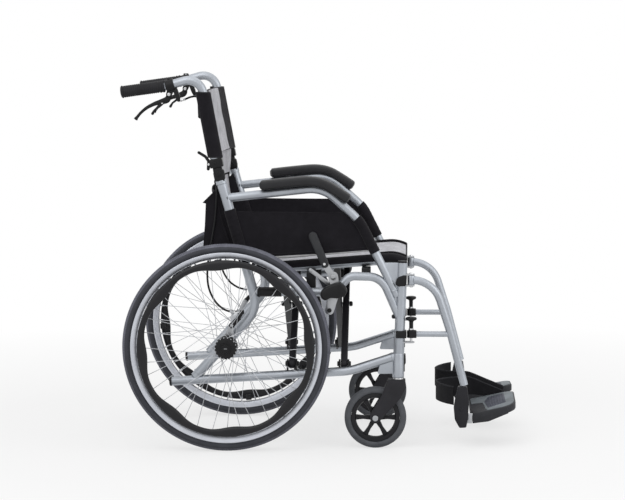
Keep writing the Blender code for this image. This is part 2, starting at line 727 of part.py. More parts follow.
def back_hinge_bracket():
    """The two plates on the upright's top that carry the folding back's pin."""
    px, pz = FOLD_PIVOT
    front = [(px + ahead, pz + above) for ahead, above in HINGE_PLATE_FRONT]
    rear = (px + HINGE_PLATE_REAR[0], pz + HINGE_PLATE_REAR[1])
    outline = front + disc(FOLD_PIVOT, HINGE_R, 5, radians(-10), radians(200)) + [rear]
    shapes = []
    inner = TONGUE_HALF + PIN_PLAY
    for sign in (-1, 1):
        near, far = sorted((FRAME_Y + sign * inner, FRAME_Y + sign * (inner + HINGE_PLATE_T)))
        shapes.append(plate(outline, near, far))
    reach = inner + HINGE_PLATE_T + PIN_HEAD_T
    shapes.append(rod((px, FRAME_Y - reach, pz), (px, FRAME_Y + reach, pz), BOLT_R, 8))
    return shapes


def hanger_receiver():
    """The lugs and pin on the post that the hanger swings on, the clamp and its catch."""
    y = FRAME_Y
    low = HANGER_TOP_Z - SWING_EYE_H / 2 - PIN_PLAY
    high = HANGER_TOP_Z + SWING_EYE_H / 2 + PIN_PLAY
    round_end = disc((SWING_X, y), LUG_HALF_W, 4, -pi / 2 + 0.4, pi - 0.8)
    inner, outer = y - LUG_HALF_W, y + LUG_HALF_W
    outline = [(POST_X, inner), (SWING_X, inner), *round_end, (SWING_X, outer), (POST_X, outer)]
    pin_foot, pin_head = low - LUG_T - BOLT_HEAD_T, high + LUG_T + BOLT_HEAD_T
    shapes = [
        plate(outline, high, high + LUG_T, "XY"),
        plate(outline, low - LUG_T, low, "XY"),
        box((POST_X, y - CLAMP_HALF_W, low - LUG_T),
            (SWING_X - SWING_EYE_R - 0.001, y + CLAMP_HALF_W, high)),
        rod((SWING_X, y, pin_foot), (SWING_X, y, pin_head), SWING_PIN_R, 8),
        plate(outline, CATCH_Z - LUG_T, CATCH_Z, "XY"),
        box((POST_X - POST_R / 2, y - SEAT_BLOCK_HALF_W, HANGER_BAR_Z - BLOCK_H / 2),
            (SWING_X - BLOCK_R - EAR_PLAY, y + SEAT_BLOCK_HALF_W, HANGER_BAR_Z + BLOCK_H / 2)),
    ]
    cut = rod((SWING_X, y, CATCH_Z - 2 * LUG_T), (SWING_X, y, CATCH_Z + LUG_T), KNOB_PIN_R + PIN_PLAY, 8)
    return shapes, cut


def rail_saddles():
    """Blocks on the side frame's upper tube that the open seat rail rests on."""
    shapes = []
    for x, foot in zip(SADDLE_X, SADDLE_FOOT_Z):
        top = rail_z(x) - RAIL_R - SADDLE_GAP
        shapes.append(
            box((x - SADDLE_L / 2, SADDLE_INNER_Y, foot), (x + SADDLE_L / 2, FRAME_Y - 0.003, top))
        )
    return shapes


def side_frame(side, name):
    y = FRAME_Y
    axle = (0.0, TYRE_R)
    shapes = [
        upright_tube(),
        lower_tube(),
        rod((POST_X, y, POST_BOTTOM_Z + POST_R), (POST_TOP[0], y, POST_TOP[1]), POST_R, 10),
        rod((POST_X, y, POST_BOTTOM_Z), (POST_X, y, POST_BOTTOM_Z + POST_HEAD_L), POST_HEAD_R, 10),
        upper_tube(),
        armrest_tube(),
        plate(HEAD_GUSSET, y - HEAD_GUSSET_HALF, y + HEAD_GUSSET_HALF),
        plate(FOOT_GUSSET, y - FOOT_GUSSET_HALF, y + FOOT_GUSSET_HALF),
        rod((axle[0], BOSS_INNER_Y, axle[1]), (axle[0], BRAKE_PLATE_Y - GAP, axle[1]), BOSS_R, 10),
    ]
    shapes += [
        rod((POST_X - POST_BOLT_REACH, y, z), (POST_X, y, z), POST_BOLT_R, 6) for z in POST_BOLT_Z
    ]
    swing, catch_hole = hanger_receiver()
    shapes += brace_ears(side) + back_hinge_bracket() + rail_saddles() + swing
    cuts = [
        rod((axle[0], BOSS_INNER_Y - BOSS_R, axle[1]), (axle[0], WHEEL_Y, axle[1]),
            AXLE_R + PIN_PLAY, 8),
        rod((POST_X, y, POST_BOTTOM_Z - STEM_L), (POST_X, y, POST_BOTTOM_Z + STEM_L),
            STEM_R + PIN_PLAY, 8),
        catch_hole,
    ]
    return finished(name, fused(shapes, cuts), side, SILVER)


def rear_tyre(side, name):
    bead = RIM_W / 2 - RIM_WALL - GAP
    half = TYRE_W / 2
    upper = [(RIM_BED_R + GAP, bead), (RIM_R + GAP, bead), (RIM_R + TYRE_DEPTH / 5, half),
             (TYRE_R - TYRE_SHOULDER, half - TYRE_SHOULDER), (TYRE_R, TREAD_HALF)]
    profile = upper + [(r, -a) for r, a in upper[::-1]]
    tyre = turned(profile, (0.0, WHEEL_Y, TYRE_R), WHEEL_SIDES)
    return finished(name, tyre, side, RUBBER, (0.0, WHEEL_Y, TYRE_R))


def rear_rim(side, name):
    half = RIM_W / 2
    bed = half - RIM_WALL
    upper = [(RIM_INNER_R, RIM_INNER_HALF), (RIM_R, half), (RIM_R, bed), (RIM_BED_R, bed)]
    profile = upper + [(r, -a) for r, a in upper[::-1]]
    rim = turned(profile, (0.0, WHEEL_Y, TYRE_R), WHEEL_SIDES)
    return finished(name, rim, side, SILVER, (0.0, WHEEL_Y, TYRE_R))


def rim_reach():
    """How far from the axle a piece may go and stay clear of the faceted rim."""
    return RIM_INNER_R * cos(pi / WHEEL_SIDES) - GAP


def spoke(index):
    """A straight square bar from a hub flange to the rim."""
    rim_angle = 2 * pi * index / SPOKES
    flange = 1 if index % 2 else -1
    lean = 1 if (index // 2) % 2 else -1
    hub_angle = rim_angle + lean * SPOKE_SWEEP
    start_r = HUB_R - SPOKE_ROOT
    apart = lean * SPOKE_W * 0.8
    start = Vector((start_r * cos(hub_angle), flange * HUB_FLANGE_Y + apart, start_r * sin(hub_angle)))
    end = Vector((rim_reach() * cos(rim_angle), flange * SPOKE_W + apart, rim_reach() * sin(rim_angle)))
    centre = Vector((0.0, WHEEL_Y, TYRE_R))
    return rod(centre + start, centre + end - (end - start).normalized() * SPOKE_W, SPOKE_W * 0.6, 3)


def rear_hub(side, name):
    edge, foot = HUB_FLANGE_Y - FLANGE_HALF, HUB_FLANGE_Y - FLANGE_HALF - FLANGE_BEVEL
    drum = [(HUB_BORE_R, HUB_INNER), (HUB_R, HUB_INNER), (HUB_R, -edge), (HUB_BARREL_R, -foot)]
    flange = [(HUB_BARREL_R, foot), (HUB_R, edge), (HUB_R, HUB_FLANGE_Y + FLANGE_HALF)]
    cap = [(HUB_CAP_R, HUB_OUTER), (HUB_BORE_R, HUB_OUTER)]
    body = turned(drum + flange + cap, (0.0, WHEEL_Y, TYRE_R), 10)
    hub = joined_at_once(body, [spoke(index) for index in range(SPOKES)])
    return finished(name, hub, side, STEEL, (0.0, WHEEL_Y, TYRE_R))


def lobe(angle):
    """0 between the handrim's lobes and 1 at the middle of one."""
    phase = cos(HANDRIM_LOBES * (angle - HANDRIM_PHASE))
    return max(0.0, 0.5 + 0.5 * phase) ** 1.5


def handrim(side, name):
    rings = []
    for index in range(HANDRIM_SIDES):
        angle = HANDRIM_PHASE + 2 * pi * index / HANDRIM_SIDES
        depth = HANDRIM_BAND + HANDRIM_LOBE * lobe(angle)
        half = HANDRIM_T / 2
        section = [(0.0, -half * 0.5), (0.0, half * 0.5), (0.3, half), (1.0, half * 0.7),
                   (1.0, -half * 0.7), (0.3, -half)]
        ring = []
        for share, across in section:
            r = HANDRIM_R - depth * share
            ring.append((r * cos(angle), HANDRIM_Y + across, TYRE_R + r * sin(angle)))
        rings.append(ring)
    shapes = [skin(rings, closed=True)]
    for index in range(HANDRIM_LOBES):
        angle = HANDRIM_PHASE + 2 * pi * index / HANDRIM_LOBES
        tab = box((HANDRIM_R - TAB_ROOT, TAB_INNER_Y, -TAB_W / 2),
                  (rim_reach() - 0.0004, HANDRIM_Y, TAB_W / 2))
        tab.data.transform(
            Matrix.Translation((0.0, 0.0, TYRE_R)) @ Matrix.Rotation(-angle, 4, "Y")
        )
        shapes.append(tab)
    return finished(name, fused(shapes), side, PLASTIC, (0.0, WHEEL_Y, TYRE_R))


def brake_plate(side, name):
    low, high = BRAKE_PLATE_Y, BRAKE_PLATE_Y + BRAKE_PLATE_T
    outer_nut, inner_nut = WHEEL_Y + HUB_OUTER + GAP, BOSS_INNER_Y - GAP
    px, pz = BRAKE_PIVOT
    shapes = [
        rod((0.0, low, TYRE_R), (0.0, high, TYRE_R), BRAKE_PLATE_R, 16),
        rod((0.0, BOSS_INNER_Y - 0.004, TYRE_R), (0.0, AXLE_OUTER_Y, TYRE_R), AXLE_R, 8),
        rod((0.0, outer_nut, TYRE_R), (0.0, outer_nut + AXLE_NUT_T, TYRE_R), AXLE_NUT_R, 6),
        rod((0.0, inner_nut - 0.0062, TYRE_R), (0.0, inner_nut, TYRE_R), AXLE_NUT_R, 6),
        plate(strip([BRAKE_LUG, BRAKE_PIVOT], BRAKE_LUG_HALF_W), low, high - 0.001),
        rod((px, low, pz), (px, high + BRAKE_ARM_T + PIN_HEAD_T, pz), BRAKE_PIN_R, 8),
    ]
    return finished(name, fused(shapes), side, PLASTIC)


def brake_arm(side, name):
    low = BRAKE_PLATE_Y + BRAKE_PLATE_T + GAP
    high = low + BRAKE_ARM_T
    px, pz = BRAKE_PIVOT
    spine = [BRAKE_PIVOT, BRAKE_ARM_KNEE, BRAKE_ARM_TIP]
    bar = plate(strip(spine, BRAKE_ARM_HALF_W), low, high)
    hole = rod((px, low - BRAKE_ARM_T, pz), (px, high + BRAKE_ARM_T, pz), BRAKE_PIN_R + PIN_PLAY, 8)
    return finished(name, fused([bar], [hole]), side, PLASTIC, (px, low, pz))


def cable_route():
    """The cable's way from the lever's stop, down inside the back post, to the brake arm."""
    inner = FRAME_Y - UPRIGHT_R - CABLE_OFF
    top = [(HANDLE_TOP_X - back, y, HANDLE_TOP_Z - below) for back, y, below in CABLE_TOP]
    middle = [(x, inner, z) for x, z in CABLE_MIDDLE]
    foot = [(x, y, TYRE_R + above) for x, y, above in CABLE_FOOT]
    return top + middle + foot


def brake_cable(side, name):
    cable = tube(smooth_path(cable_route(), 31), CABLE_R, 6)
    return finished(name, cable, side, PLASTIC)


def castor_centre():
    return Vector((POST_X - CASTOR_TRAIL, FRAME_Y, CASTOR_R))


def castor_fork(side, name):
    y = FRAME_Y
    top = POST_BOTTOM_Z - FORK_TOP_GAP
    crown = top - FORK_CROWN_T
    inner = CASTOR_W / 2 + FORK_SIDE_PLAY
    axle = castor_centre()
    rear, front = POST_X + FORK_CROWN[0], POST_X + FORK_CROWN[1]
    leg = [(POST_X + ahead, top + above) for ahead, above in FORK_TOP_FRONT]
    leg += [(axle.x + FORK_FOOT_FRONT[0], axle.z + FORK_FOOT_FRONT[1])]
    leg += disc((axle.x, axle.z), FORK_FOOT_R, 5, radians(-30), radians(-130))
    leg += [(axle.x + FORK_FOOT_REAR[0], axle.z + FORK_FOOT_REAR[1])]
    leg += [(POST_X + ahead, top + above) for ahead, above in FORK_TOP_REAR]
    outer, end = inner + FORK_WALL / 2, inner + FORK_WALL + CASTOR_ROOM
    shapes = [
        box((rear, y - outer, crown), (front, y + outer, top)),
        plate(leg, y - inner - FORK_WALL, y - inner),
        plate(leg, y + inner, y + inner + FORK_WALL),
        rod((POST_X, y, top - 0.002), (POST_X, y, POST_BOTTOM_Z - GAP), FORK_COLLAR_R, 10),
        rod((POST_X, y, top - 0.004), (POST_X, y, POST_BOTTOM_Z + STEM_L - 0.002), STEM_R, 8),
        rod((axle.x, y - end, axle.z), (axle.x, y + end, axle.z), CASTOR_AXLE_R, 8),
    ]
    clearance = rod((axle.x, y - inner, axle.z), (axle.x, y + inner, axle.z), CASTOR_R + CASTOR_ROOM, 24)
    crown_part = cut_or_join(shapes[0], [clearance], "DIFFERENCE")
    return finished(name, fused([crown_part] + shapes[1:]), side, PLASTIC, (POST_X, y, top))


def castor_rim(side, name):
    centre = castor_centre()
    half = CASTOR_W / 2 - 0.002
    ring = turned(
        [(CASTOR_RING_R, -half), (CASTOR_RING_R, half), (CASTOR_CORE_R, half), (CASTOR_CORE_R, -half)],
        centre, CASTOR_SIDES,
    )
    reach = Vector((0.0, CASTOR_W / 2, 0.0))
    hub = rod(centre - reach, centre + reach, CASTOR_HUB_R, 8)
    shapes = [ring, hub]
    for index in range(CASTOR_SPOKES):
        angle = 2 * pi * index / CASTOR_SPOKES
        flank = half - CASTOR_SPOKE_INSET
        arm = box((CASTOR_AXLE_R, -flank, -CASTOR_SPOKE_W / 2),
                  (CASTOR_RING_R + CASTOR_SPOKE_INSET, flank, CASTOR_SPOKE_W / 2))
        arm.data.transform(Matrix.Translation(centre) @ Matrix.Rotation(angle, 4, "Y"))
        shapes.append(arm)
    bore = rod(centre - 2 * reach, centre + 2 * reach, CASTOR_AXLE_R + PIN_PLAY, 8)
    return finished(name, fused(shapes, [bore]), side, PLASTIC, centre)


def castor_tyre(side, name):
    centre = castor_centre()
    half = CASTOR_W / 2
    inner = CASTOR_CORE_R + GAP
    shoulder, tread = half - 0.001, half - CASTOR_TREAD_INSET
    upper = [(inner, half), (CASTOR_R - CASTOR_SHOULDER, shoulder), (CASTOR_R, tread)]
    profile = upper + [(r, -a) for r, a in upper[::-1]]
    return finished(name, turned(profile, centre, CASTOR_SIDES), side, GREY_RUBBER, centre)


def hanger(side, name):
    y = FRAME_Y
    half = SWING_EYE_H / 2
    low, high = HANGER_BAR_Z - BLOCK_H / 2, HANGER_BAR_Z + BLOCK_H / 2
    shapes = [
        side_tube(HANGER_TUBE, HANGER_BEND_R, HANGER_TUBE_R, 8, steps=3),
        rod((SWING_X, y, HANGER_TOP_Z - half), (SWING_X, y, HANGER_TOP_Z + half), SWING_EYE_R, 10),
        rod((SWING_X + HANGER_BAR_R, y, HANGER_BAR_Z), (HANGER_BAR_END, y, HANGER_BAR_Z),
            HANGER_BAR_R, 8),
        rod((SWING_X, y, low), (SWING_X, y, high), BLOCK_R, 10),
        box((SWING_X, y - BLOCK_HALF_W, low), (SWING_X + BLOCK_L, y + BLOCK_HALF_W, high)),
    ]
    cuts = [
        rod((SWING_X, y, HANGER_TOP_Z - SWING_EYE_H), (SWING_X, y, HANGER_TOP_Z + SWING_EYE_H),
            SWING_PIN_R + PIN_PLAY, 8),
        rod((SWING_X, y, low - BLOCK_H), (SWING_X, y, high + BLOCK_H), KNOB_PIN_R + PIN_PLAY, 8),
    ]
    return finished(name, fused(shapes, cuts), side, SILVER, (SWING_X, y, HANGER_TOP_Z))


def hanger_knob(side, name):
    foot = HANGER_BAR_Z + BLOCK_H / 2 + GAP
    tip = CATCH_Z - LUG_T + 0.001
    pin = [(0.0, tip), (KNOB_PIN_R, tip), (KNOB_PIN_R, foot)]
    profile = pin + [(radius, foot + above) for radius, above in KNOB_PROFILE]
    knob = turned(profile, (SWING_X, FRAME_Y, 0.0), 10, solid=True, axis="Z")
    return finished(name, knob, side, PLASTIC, (SWING_X, FRAME_Y, foot))


def foot_socket(side, name):
    y = FRAME_Y
    outline = [(SOCKET_FRONT_X - back, z) for back, z in SOCKET_OUTLINE]
    start, end = SOCKET_FRONT_X - FLIP_BLOCK_L, PLATE_REAR_X - FLIP_BLOCK_GAP
    inside = SOCKET_FRONT_X - FLIP_PIN_ROOT
    shapes = [
        plate(outline, y - SOCKET_HALF, y + SOCKET_HALF),
        box((start, FLIP_Y - FLIP_BLOCK_HALF, FLIP_Z - FLIP_BLOCK_RISE),
            (end, y, FLIP_Z + FLIP_BLOCK_RISE)),
        rod((inside, FLIP_Y, FLIP_Z), (PLATE_REAR_X + FLIP_PIN_REACH, FLIP_Y, FLIP_Z), FLIP_PIN_R, 8),
    ]
    return finished(name, fused(shapes), side, PLASTIC)


def footplate(side, name):
    back, front = PLATE_REAR_X, PLATE_FRONT_X
    inner, outer, corner = PLATE_INNER_Y, PLATE_OUTER_Y, PLATE_CORNER_R
    profile = [(back + x, z) for x, z in PLATE_REAR_PROFILE]
    profile += [(front + x, z) for x, z in PLATE_FRONT_PROFILE]
    deck = plate(profile, inner, outer)
    profile = [(back + x, z) for x, z in KEEL_REAR_PROFILE]
    profile += [(front + x, z) for x, z in KEEL_FRONT_PROFILE]
    keel = plate(profile, KEEL_INNER_Y, outer)
    plan = [
        (back, inner + PLATE_NICK), (back + PLATE_NICK, inner),
        *disc((front - corner, inner + corner), corner, 5, -pi / 2, pi / 2),
        *disc((front - corner, outer - corner), corner, 5, 0.0, pi / 2),
        (back, outer),
    ]
    bounds = plate(plan, 0.0, 2 * FLIP_Z, "XY")
    body = cut_or_join(fused([deck, keel]), [bounds], "INTERSECT")
    end = back + FLIP_PIN_REACH + PIN_PLAY
    hole = rod((back - PLATE_GAP, FLIP_Y, FLIP_Z), (end, FLIP_Y, FLIP_Z), FLIP_PIN_R + PIN_PLAY, 8)
    return finished(name, fused([body], [hole]), side, GREY_RUBBER, (back, FLIP_Y, FLIP_Z))


def heel_loop(side, name):
    """A webbing strap from the socket round behind the heel and forward along the plate's inner edge."""
    corners = [(SOCKET_FRONT_X - back, y) for back, y in LOOP_ROUTE]
    end_x = PLATE_FRONT_X - LOOP_END[0]
    route = smooth_path(corners + [(end_x, LOOP_END[1])], 19)
    rings = []
    for index, point in enumerate(route):
        before = route[max(index - 1, 0)]
        after = route[min(index + 1, len(route) - 1)]
        along = (after - before).normalized()
        across = Vector((-along.y, along.x)) * (LOOP_STRAP_T / 2)
        share = max(0.0, (point.x - PLATE_REAR_X) / (end_x - PLATE_REAR_X))
        bottom, top = (rear + (front - rear) * share for rear, front in zip(LOOP_Z, LOOP_FRONT_Z))
        a, b = point.to_2d() + across, point.to_2d() - across
        rings.append([(a.x, a.y, bottom), (a.x, a.y, top), (b.x, b.y, top), (b.x, b.y, bottom)])
    return finished(name, skin(rings), side, CLOTH)


def armrest_pad(side, name):
    lift = ARM_TUBE_R + PAD_T / 2 - PAD_SINK
    spine = smooth_path(
        [(x, 0.0, z + lift) for x, z in PAD_TOP] + [(x, 0.0, z) for x, z in PAD_NOSE], 11
    )
    rings = []
    for index, point in enumerate(spine):
        before = spine[max(index - 1, 0)]
        after = spine[min(index + 1, len(spine) - 1)]
        along = (after - before).normalized()
        up = Vector((-along.z, 0.0, along.x))
        end = min(index, len(spine) - 1 - index)
        grow = PAD_END_SHARES[min(end, 2)]
        half_w, half_t = PAD_W / 2 * grow, PAD_T / 2 * grow
        middle = point + Vector((0.0, FRAME_Y + PAD_OFFSET_Y, 0.0))
        ring = []
        for across, height in PAD_FLAT + PAD_CROWN:
            ring.append(middle + Vector((0.0, across * half_w, 0.0)) + up * (height * half_t))
        rings.append(ring)
    return finished(name, fused([skin(rings)], [armrest_tube(GAP)]), side, PLASTIC)


def side_panel(side, name):
    """The cloth side guard, sleeved on the armrest tube in front and on the upright behind."""
    y = FRAME_Y
    upper, lower = (Vector((x, y, z)) for x, z in upright_points()[:2])
    bend, edge, start, end = (Vector((x, y, z)) for x, z in PANEL_SLEEVE)
    shapes = [
        plate(PANEL_OUTLINE, y - PANEL_T / 2, y + PANEL_T / 2),
        rod(bend, edge, ARM_TUBE_R + SLEEVE_WALL, 8),
        rod(start, end, ARM_TUBE_R + SLEEVE_WALL, 8),
        rod(upper.lerp(lower, REAR_SLEEVE_SHARES[0]), upper.lerp(lower, REAR_SLEEVE_SHARES[1]),
            UPRIGHT_R + SLEEVE_WALL, 8),
    ]
    cuts = [armrest_tube(2 * GAP), upright_tube(2 * GAP)]
    return finished(name, fused(shapes, cuts), side, CLOTH)


def post_x(z):
    """Where the folding post's axis is at this height."""
    return FOLD_PIVOT[0] + (z - FOLD_PIVOT[1]) / tan(BACK_LEAN)


def handle_points():
    """The handle tube's corners above the hinge, in the side plane."""
    return [(HANDLE_TOP_X, HANDLE_TOP_Z), HANDLE_KNEE, HANDLE_END]


def by_handle(offsets):
    """The points that lie so far behind and below the handle's top corner."""
    return [(HANDLE_TOP_X - back, HANDLE_TOP_Z - below) for back, below in offsets]


def post_start():
    """Where the folding post's tube starts, inside its hinge body."""
    return Vector(FOLD_PIVOT) + post_direction() * (HINGE_BODY_START + POST_SINK)


def post_direction():
    """The folding post's direction from its pivot, in the side plane."""
    return Vector((cos(BACK_LEAN), sin(BACK_LEAN)))


def back_post(side, name):
    pivot = Vector(FOLD_PIVOT)
    along = post_direction()
    across = Vector((along.y, -along.x))

    def at(distance, offset):
        return tuple(pivot + along * distance + across * offset)

    y = FRAME_Y
    start, end, half = HINGE_BODY_START, HINGE_BODY_END, HINGE_BODY_HALF
    root, shoulder, corner = start + POST_SINK, end - HINGE_BODY_BEVEL, half - HINGE_BODY_BEVEL
    handle = handle_tube(post_start())
    round_end = disc(FOLD_PIVOT, TONGUE_R, 7, BACK_LEAN + pi / 2, pi)
    tongue = plate([at(root, -TONGUE_NECK), *round_end, at(root, TONGUE_NECK)],
                   y - TONGUE_HALF, y + TONGUE_HALF)
    body = plate([at(start, -half), at(start, half), at(shoulder, half), at(end, corner),
                  at(end, -corner), at(shoulder, -half)], y - HINGE_BODY_W, y + HINGE_BODY_W)
    lx, lz = LATCH_PIVOT
    shapes = [handle, tongue, body]
    for sign in (-1, 1):
        near, far = sorted((y + sign * (LATCH_T / 2 + PIN_PLAY), y + sign * LATCH_CHEEK_OUTER))
        shapes.append(plate(strip([LATCH_CHEEK_FOOT, LATCH_PIVOT], LATCH_CHEEK_HALF_W), near, far))
    reach = LATCH_T / 2 + PIN_HEAD_T
    shapes.append(rod((lx, y - reach, lz), (lx, y + reach, lz), LATCH_PIN_R, 8))
    reach = 2 * TONGUE_HALF
    hole = rod((pivot.x, y - reach, pivot.y), (pivot.x, y + reach, pivot.y), BOLT_R + PIN_PLAY, 8)
    return finished(name, fused(shapes, [hole]), side, SILVER, (pivot.x, y, pivot.y))


def back_latch(side, name):
    y = FRAME_Y
    lx, lz = LATCH_PIVOT
    spine = [LATCH_TIP] + [(lx + ahead, lz + above) for ahead, above in LATCH_SPINE]
    lever = plate(strip(spine, LATCH_HALF_W), y - LATCH_T / 2, y + LATCH_T / 2)
    hole = rod((lx, y - LATCH_T, lz), (lx, y + LATCH_T, lz), LATCH_PIN_R + PIN_PLAY, 8)
    return finished(name, fused([lever], [hole]), side, PLASTIC, (lx, y, lz))


def grip(side, name):
    y = FRAME_Y
    rear, front = Vector((GRIP_END[0], y, GRIP_END[1])), Vector((GRIP_FRONT[0], y, GRIP_FRONT[1]))
    along = (front - rear).normalized()
    shapes = [rod(rear, front, GRIP_R - GRIP_RIB)]
    for share in GRIP_RIB_SHARES:
        start, end = rear.lerp(front, share) + along * PIN_PLAY, rear.lerp(front, share + GRIP_RIB_L)
        shapes.append(rod(start, end, GRIP_R))
    bore = handle_tube(post_start(), GAP)
    return finished(name, fused(shapes, [bore]), side, RUBBER)


def lever_bracket(side, name):
    y = FRAME_Y
    rear, front = CLAMP_X
    top_x, top_z = handle_points()[0]
    slope = (top_z - HANDLE_KNEE[1]) / (top_x - HANDLE_KNEE[0])

    def on_handle(x):
        return HANDLE_KNEE[1] + slope * (x - HANDLE_KNEE[0]) - 0.0006

    lx, lz = LEVER_PIVOT
    inner = LEVER_T / 2 + PIN_PLAY
    reach = inner + LEVER_PIN_REACH
    cheeks = strip(by_handle(LEVER_CHEEK), LEVER_CHEEK_R)
    shapes = [rod((rear, y, on_handle(rear)), (front, y, on_handle(front)), CLAMP_R)]
    for sign in (-1, 1):
        near, far = sorted((y + sign * inner, y + sign * (inner + LEVER_CHEEK_T)))
        shapes.append(plate(cheeks, near, far))
    web = plate(by_handle(LEVER_WEB), y - inner - LEVER_CHEEK_T, y + inner + LEVER_CHEEK_T)
    stop, mouth = ((x, y, z) for x, z in by_handle(CABLE_STOP))
    shapes += [
        web,
        rod((lx, y - reach, lz), (lx, y + reach, lz), LEVER_PIN_R, 8),
        rod(stop, mouth, CABLE_STOP_R, 8),
    ]
    bore = handle_tube(post_start(), GAP)
    return finished(name, fused(shapes, [bore]), side, PLASTIC)


def brake_lever(side, name):
    y = FRAME_Y
    lx, lz = LEVER_PIVOT
    blade = plate(strip(by_handle(LEVER_SPINE), LEVER_HALF_W), y - LEVER_T / 2, y + LEVER_T / 2)
    kx, kz = LOCK_PIVOT
    pin = rod((kx, y, kz), (kx, y + LEVER_T / 2 + LOCK_T + PIN_HEAD_T, kz), LOCK_PIN_R, 8)
    hole = rod((lx, y - LEVER_T, lz), (lx, y + LEVER_T, lz), LEVER_PIN_R + PIN_PLAY, 8)
    return finished(name, fused([blade, pin], [hole]), side, PLASTIC, (lx, y, lz))


def brake_lock(side, name):
    low = FRAME_Y + LEVER_T / 2 + GAP
    kx, kz = LOCK_PIVOT
    pawl = plate(strip(by_handle(LOCK_SPINE), LOCK_HALF_W), low, low + LOCK_T)
    hole = rod((kx, low - LOCK_T, kz), (kx, low + 2 * LOCK_T, kz), LOCK_PIN_R + PIN_PLAY, 8)
    return finished(name, fused([pawl], [hole]), side, PLASTIC, (kx, low, kz))


def ahead_of_brake(offsets):
    """The points that lie so far ahead of the parking brake's pivot, at their heights."""
    return [(PARK_X + ahead, z) for ahead, z in offsets]


def parking_bracket(side, name):
    low = PARK_Y
    high = low + PARK_PLATE_T
    px, pz = PARK_PIVOT
    sx, sz = SHOE_PIVOT
    waist, (cx, cz) = ahead_of_brake((PARK_PLATE_WAIST, PARK_CLAMP))
    shapes = [
        plate(strip([PARK_PIVOT, waist, SHOE_PIVOT], PARK_PLATE_R), low, high),
        plate(strip(ahead_of_brake(PARK_ARM), (PARK_ARM_R, PARK_ARM_R)), low, high),
        rod((cx, FRAME_Y + PARK_CLAMP_R, cz), (cx, high, cz), PARK_CLAMP_R, 8),
        rod((px, low, pz), (px, high + PARK_HEAD_R, pz), PARK_PIN_R, 8),
        rod((sx, low, sz), (sx, high + PARK_HEAD_R, sz), PARK_PIN_R, 8),
    ]
    return finished(name, fused(shapes, [upper_tube(GAP)]), side, STEEL)


def parking_lever(side, name):
    low = PARK_Y + PARK_PLATE_T + GAP
    high = low + PARK_LEVER_T
    px, pz = PARK_PIVOT
    shapes = [
        plate(strip(ahead_of_brake(PARK_LEVER_FOOT), PARK_LEVER_FOOT_R), low, high),
        plate(strip(ahead_of_brake(PARK_LEVER_GRIP), PARK_LEVER_GRIP_R),
              low - PARK_GRIP_INNER, high + PARK_GRIP_OUTER),
    ]
    reach = 2 * PARK_LEVER_T
    hole = rod((px, low - reach, pz), (px, high + reach, pz), PARK_PIN_R + PIN_PLAY, 8)
    return finished(name, fused(shapes, [hole]), side, PLASTIC, (px, low, pz))


def parking_shoe(side, name):
    low = PARK_Y + PARK_PLATE_T + GAP
    high = low + SHOE_ARM_T
    sx, sz = SHOE_PIVOT
    px, pz = PARK_PIVOT
    shapes = [
        plate(strip(ahead_of_brake(SHOE_ARM), (SHOE_ARM_R,) * 3), low, high),
        plate(ahead_of_brake(SHOE_OUTLINE), low, SHOE_OUT_Y),
    ]
    reach = 2 * SHOE_ARM_T
    hole = rod((sx, low - reach, sz), (sx, high + reach, sz), PARK_PIN_R + PIN_PLAY, 8)
    room = rod((px, low - SHOE_ARM_T, pz), (px, low + LEVER_FOOT_ROOM, pz), LEVER_FOOT_SWING_R, 16)
    return finished(name, fused(shapes, [hole, room]), side, PLASTIC, (sx, low, sz))


def brace_hole(x, centre):
    """The cutter of a bolt's hole through a brace, at its place in YZ."""
    return rod((x - BRACE_W, *centre), (x + BRACE_W, *centre), BOLT_R + PIN_PLAY, 8)


def brace_half(foot_x):
    """One half of the cross brace, drawn from a left foot to the right rail, which it carries."""
    rear, front = ((x, -RAIL_Y, z) for x, z in (RAIL_REAR, RAIL_FRONT))
    shapes = [rod(rear, front, RAIL_R, 10)]
    cuts = []
    for x in foot_x:
        foot = Vector((FOLD_FOOT_Y, FOLD_FOOT_Z))
        centre = Vector((0.0, FOLD_CENTRE_Z))
        top = Vector((-RAIL_Y, rail_z(x)))
        half = BRACE_DEPTH / 2
        shapes.append(plate(strip([foot, centre, top], (BRACE_END_R, half, BRACE_TOP_R), 6),
                            x - BRACE_W / 2, x + BRACE_W / 2, "YZ"))
        cuts.append(brace_hole(x, foot))
    return shapes, cuts


def brace_a(name):
    shapes, cuts = brace_half(BRACE_A_X)
    for mine, other in zip(BRACE_A_X, BRACE_B_X):
        far = other + BRACE_W / 2 + EAR_PLAY
        end = far + EAR_T
        shapes.append(rod((mine, 0.0, FOLD_CENTRE_Z), (end, 0.0, FOLD_CENTRE_Z), BOLT_R, 8))
        shapes.append(rod((far, 0.0, FOLD_CENTRE_Z), (end, 0.0, FOLD_CENTRE_Z), BOLT_HEAD_R, 8))
    pivot = (BRACE_A_X[0], FOLD_FOOT_Y, FOLD_FOOT_Z)
    return finished(name, fused(shapes, cuts), 1, SILVER, pivot)


def brace_b(name):
    shapes, cuts = brace_half(BRACE_B_X)
    cuts += [brace_hole(x, Vector((0.0, FOLD_CENTRE_Z))) for x in BRACE_B_X]
    pivot = (BRACE_A_X[0], 0.0, FOLD_CENTRE_Z)
    return finished(name, fused(shapes, cuts), -1, PLASTIC, pivot)


